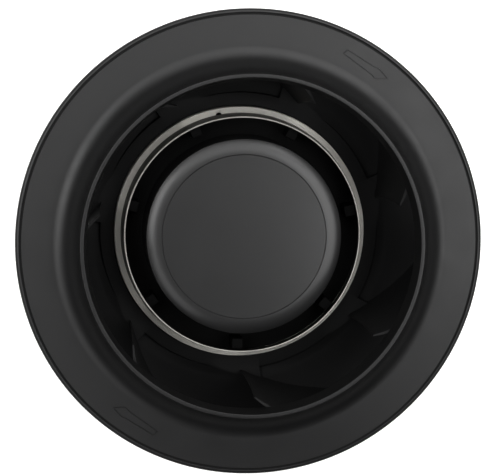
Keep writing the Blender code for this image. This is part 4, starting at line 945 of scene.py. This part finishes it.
strokes = bmesh.new()
for flip in (1, -1):
    outline = [Vector((flip * x * MM, flip * y * MM)) for x, y in ARROW]
    rings = [offset_outline(outline, distance) for distance in (HALF_STROKE, -HALF_STROKE)]
    levels = []
    for height in (-ENGRAVING, OVERCUT):
        for ring in rings:
            points = [(x, y, flange_top(math.hypot(x, y)) + height) for x, y in ring]
            levels.append([strokes.verts.new(point) for point in points])
    low_outer, low_inner, high_outer, high_inner = levels
    walls = (
        (low_outer, low_inner), (high_outer, high_inner),
        (low_outer, high_outer), (low_inner, high_inner),
    )
    for i in range(len(outline)):
        j = (i + 1) % len(outline)
        for one, other in walls:
            strokes.faces.new((one[i], one[j], other[j], other[i]))
carve(front_shroud, shape_mesh(strokes))
# The groove and the throat get the duller black: painted shade.
coat_faces(front_shroud, deep_black, is_painted_shade)


# Studio: a plain pale floor under a sky that is pale only near the horizon, and five soft lights
# over the fan. The camera stands far away and a little off the fan's axis.

FLOOR_HALF = 4.0
FLOOR_BELOW = 0.2 * MM
LIGHT_AIM = (0, 0, 0.08)
LIGHTS = (
    ("right", (0.42, -0.02, 0.8), 0.5, 2.7),
    ("top", (0.0, 0.5, 0.8), 0.8, 4.4),
    ("far_corner", (0.5, 0.5, 0.8), 0.45, 1.9),
    ("left", (-0.54, 0.12, 0.8), 0.45, 3.4),
    ("low_left", (-0.35, -0.4, 0.8), 0.45, 1.25),
)
SKY = (
    (0.0, (0.8, 0.8, 0.79)), (0.06, (0.3, 0.3, 0.3)),
    (0.25, (0.1, 0.1, 0.1)), (0.7, (0.03, 0.03, 0.03)),
)
PHOTO_SIZE = (485, 476)
FOCAL_PIXELS = 3375.1
LENS_CENTRE = (249.88, 243.03)
SENSOR_WIDTH = 36
OFF_AXIS = 8.88
CAMERA_TURN = 131.6
CAMERA_DISTANCE = 1.8
AIM_HEIGHT = 0.1

paper = Finish(
    "studio_floor",
    Roughness=0.9,
    Base_Color=(0.86, 0.86, 0.85, 1.0),
    Emission_Color=(1.0, 1.0, 0.99, 1.0),
    Emission_Strength=0.25,
)
floor = bmesh.new()
bmesh.ops.create_grid(floor, x_segments=8, y_segments=8, size=FLOOR_HALF)
mesh = bpy.data.meshes.new("studio_floor")
floor.to_mesh(mesh)
floor.free()
mesh.materials.append(paper.material)
ground = bpy.data.objects.new("studio_floor", mesh)
ground.location.z = -FLOOR_BELOW
bpy.context.scene.collection.objects.link(ground)

scene = bpy.context.scene
world = bpy.data.worlds.new("studio")
scene.world = world
world.use_nodes = True
height = Socket(world.node_tree).node("ShaderNodeTexCoord", output="Generated").part("Z")
glow = height.node("ShaderNodeValToRGB", {"stops": SKY}, {0: height})
world.node_tree.links.new(glow.output, world.node_tree.nodes["Background"].inputs["Color"])
scene.view_settings.view_transform = "Standard"
scene.view_settings.gamma = 0.8
scene.view_settings.exposure = 0.7

for name, place, size, power in LIGHTS:
    light = bpy.data.lights.new(name, "AREA")
    light.size = size
    light.energy = power
    lamp = bpy.data.objects.new(name, light)
    lamp.location = place
    aim = Vector(LIGHT_AIM) - Vector(place)
    lamp.rotation_euler = aim.to_track_quat("-Z", "Y").to_euler()
    lamp.visible_camera = False
    scene.collection.objects.link(lamp)

off_axis = math.radians(OFF_AXIS)
back = polar(math.sin(off_axis), CAMERA_TURN, math.cos(off_axis))
right = Vector((0, 1, 0)).cross(back).normalized()
upward = back.cross(right)
facing = Matrix((right, upward, back)).transposed().to_4x4()
lens = bpy.data.cameras.new("camera")
lens.sensor_width = SENSOR_WIDTH
lens.lens = FOCAL_PIXELS / PHOTO_SIZE[0] * SENSOR_WIDTH
lens.shift_x = (PHOTO_SIZE[0] / 2 - LENS_CENTRE[0]) / PHOTO_SIZE[0]
lens.shift_y = (LENS_CENTRE[1] - PHOTO_SIZE[1] / 2) / PHOTO_SIZE[0]
lens.clip_end = 50
camera = bpy.data.objects.new("camera", lens)
camera.matrix_world = (
    Matrix.Translation(Vector((0, 0, AIM_HEIGHT)) + CAMERA_DISTANCE * back) @ facing
)
scene.collection.objects.link(camera)
scene.camera = camera
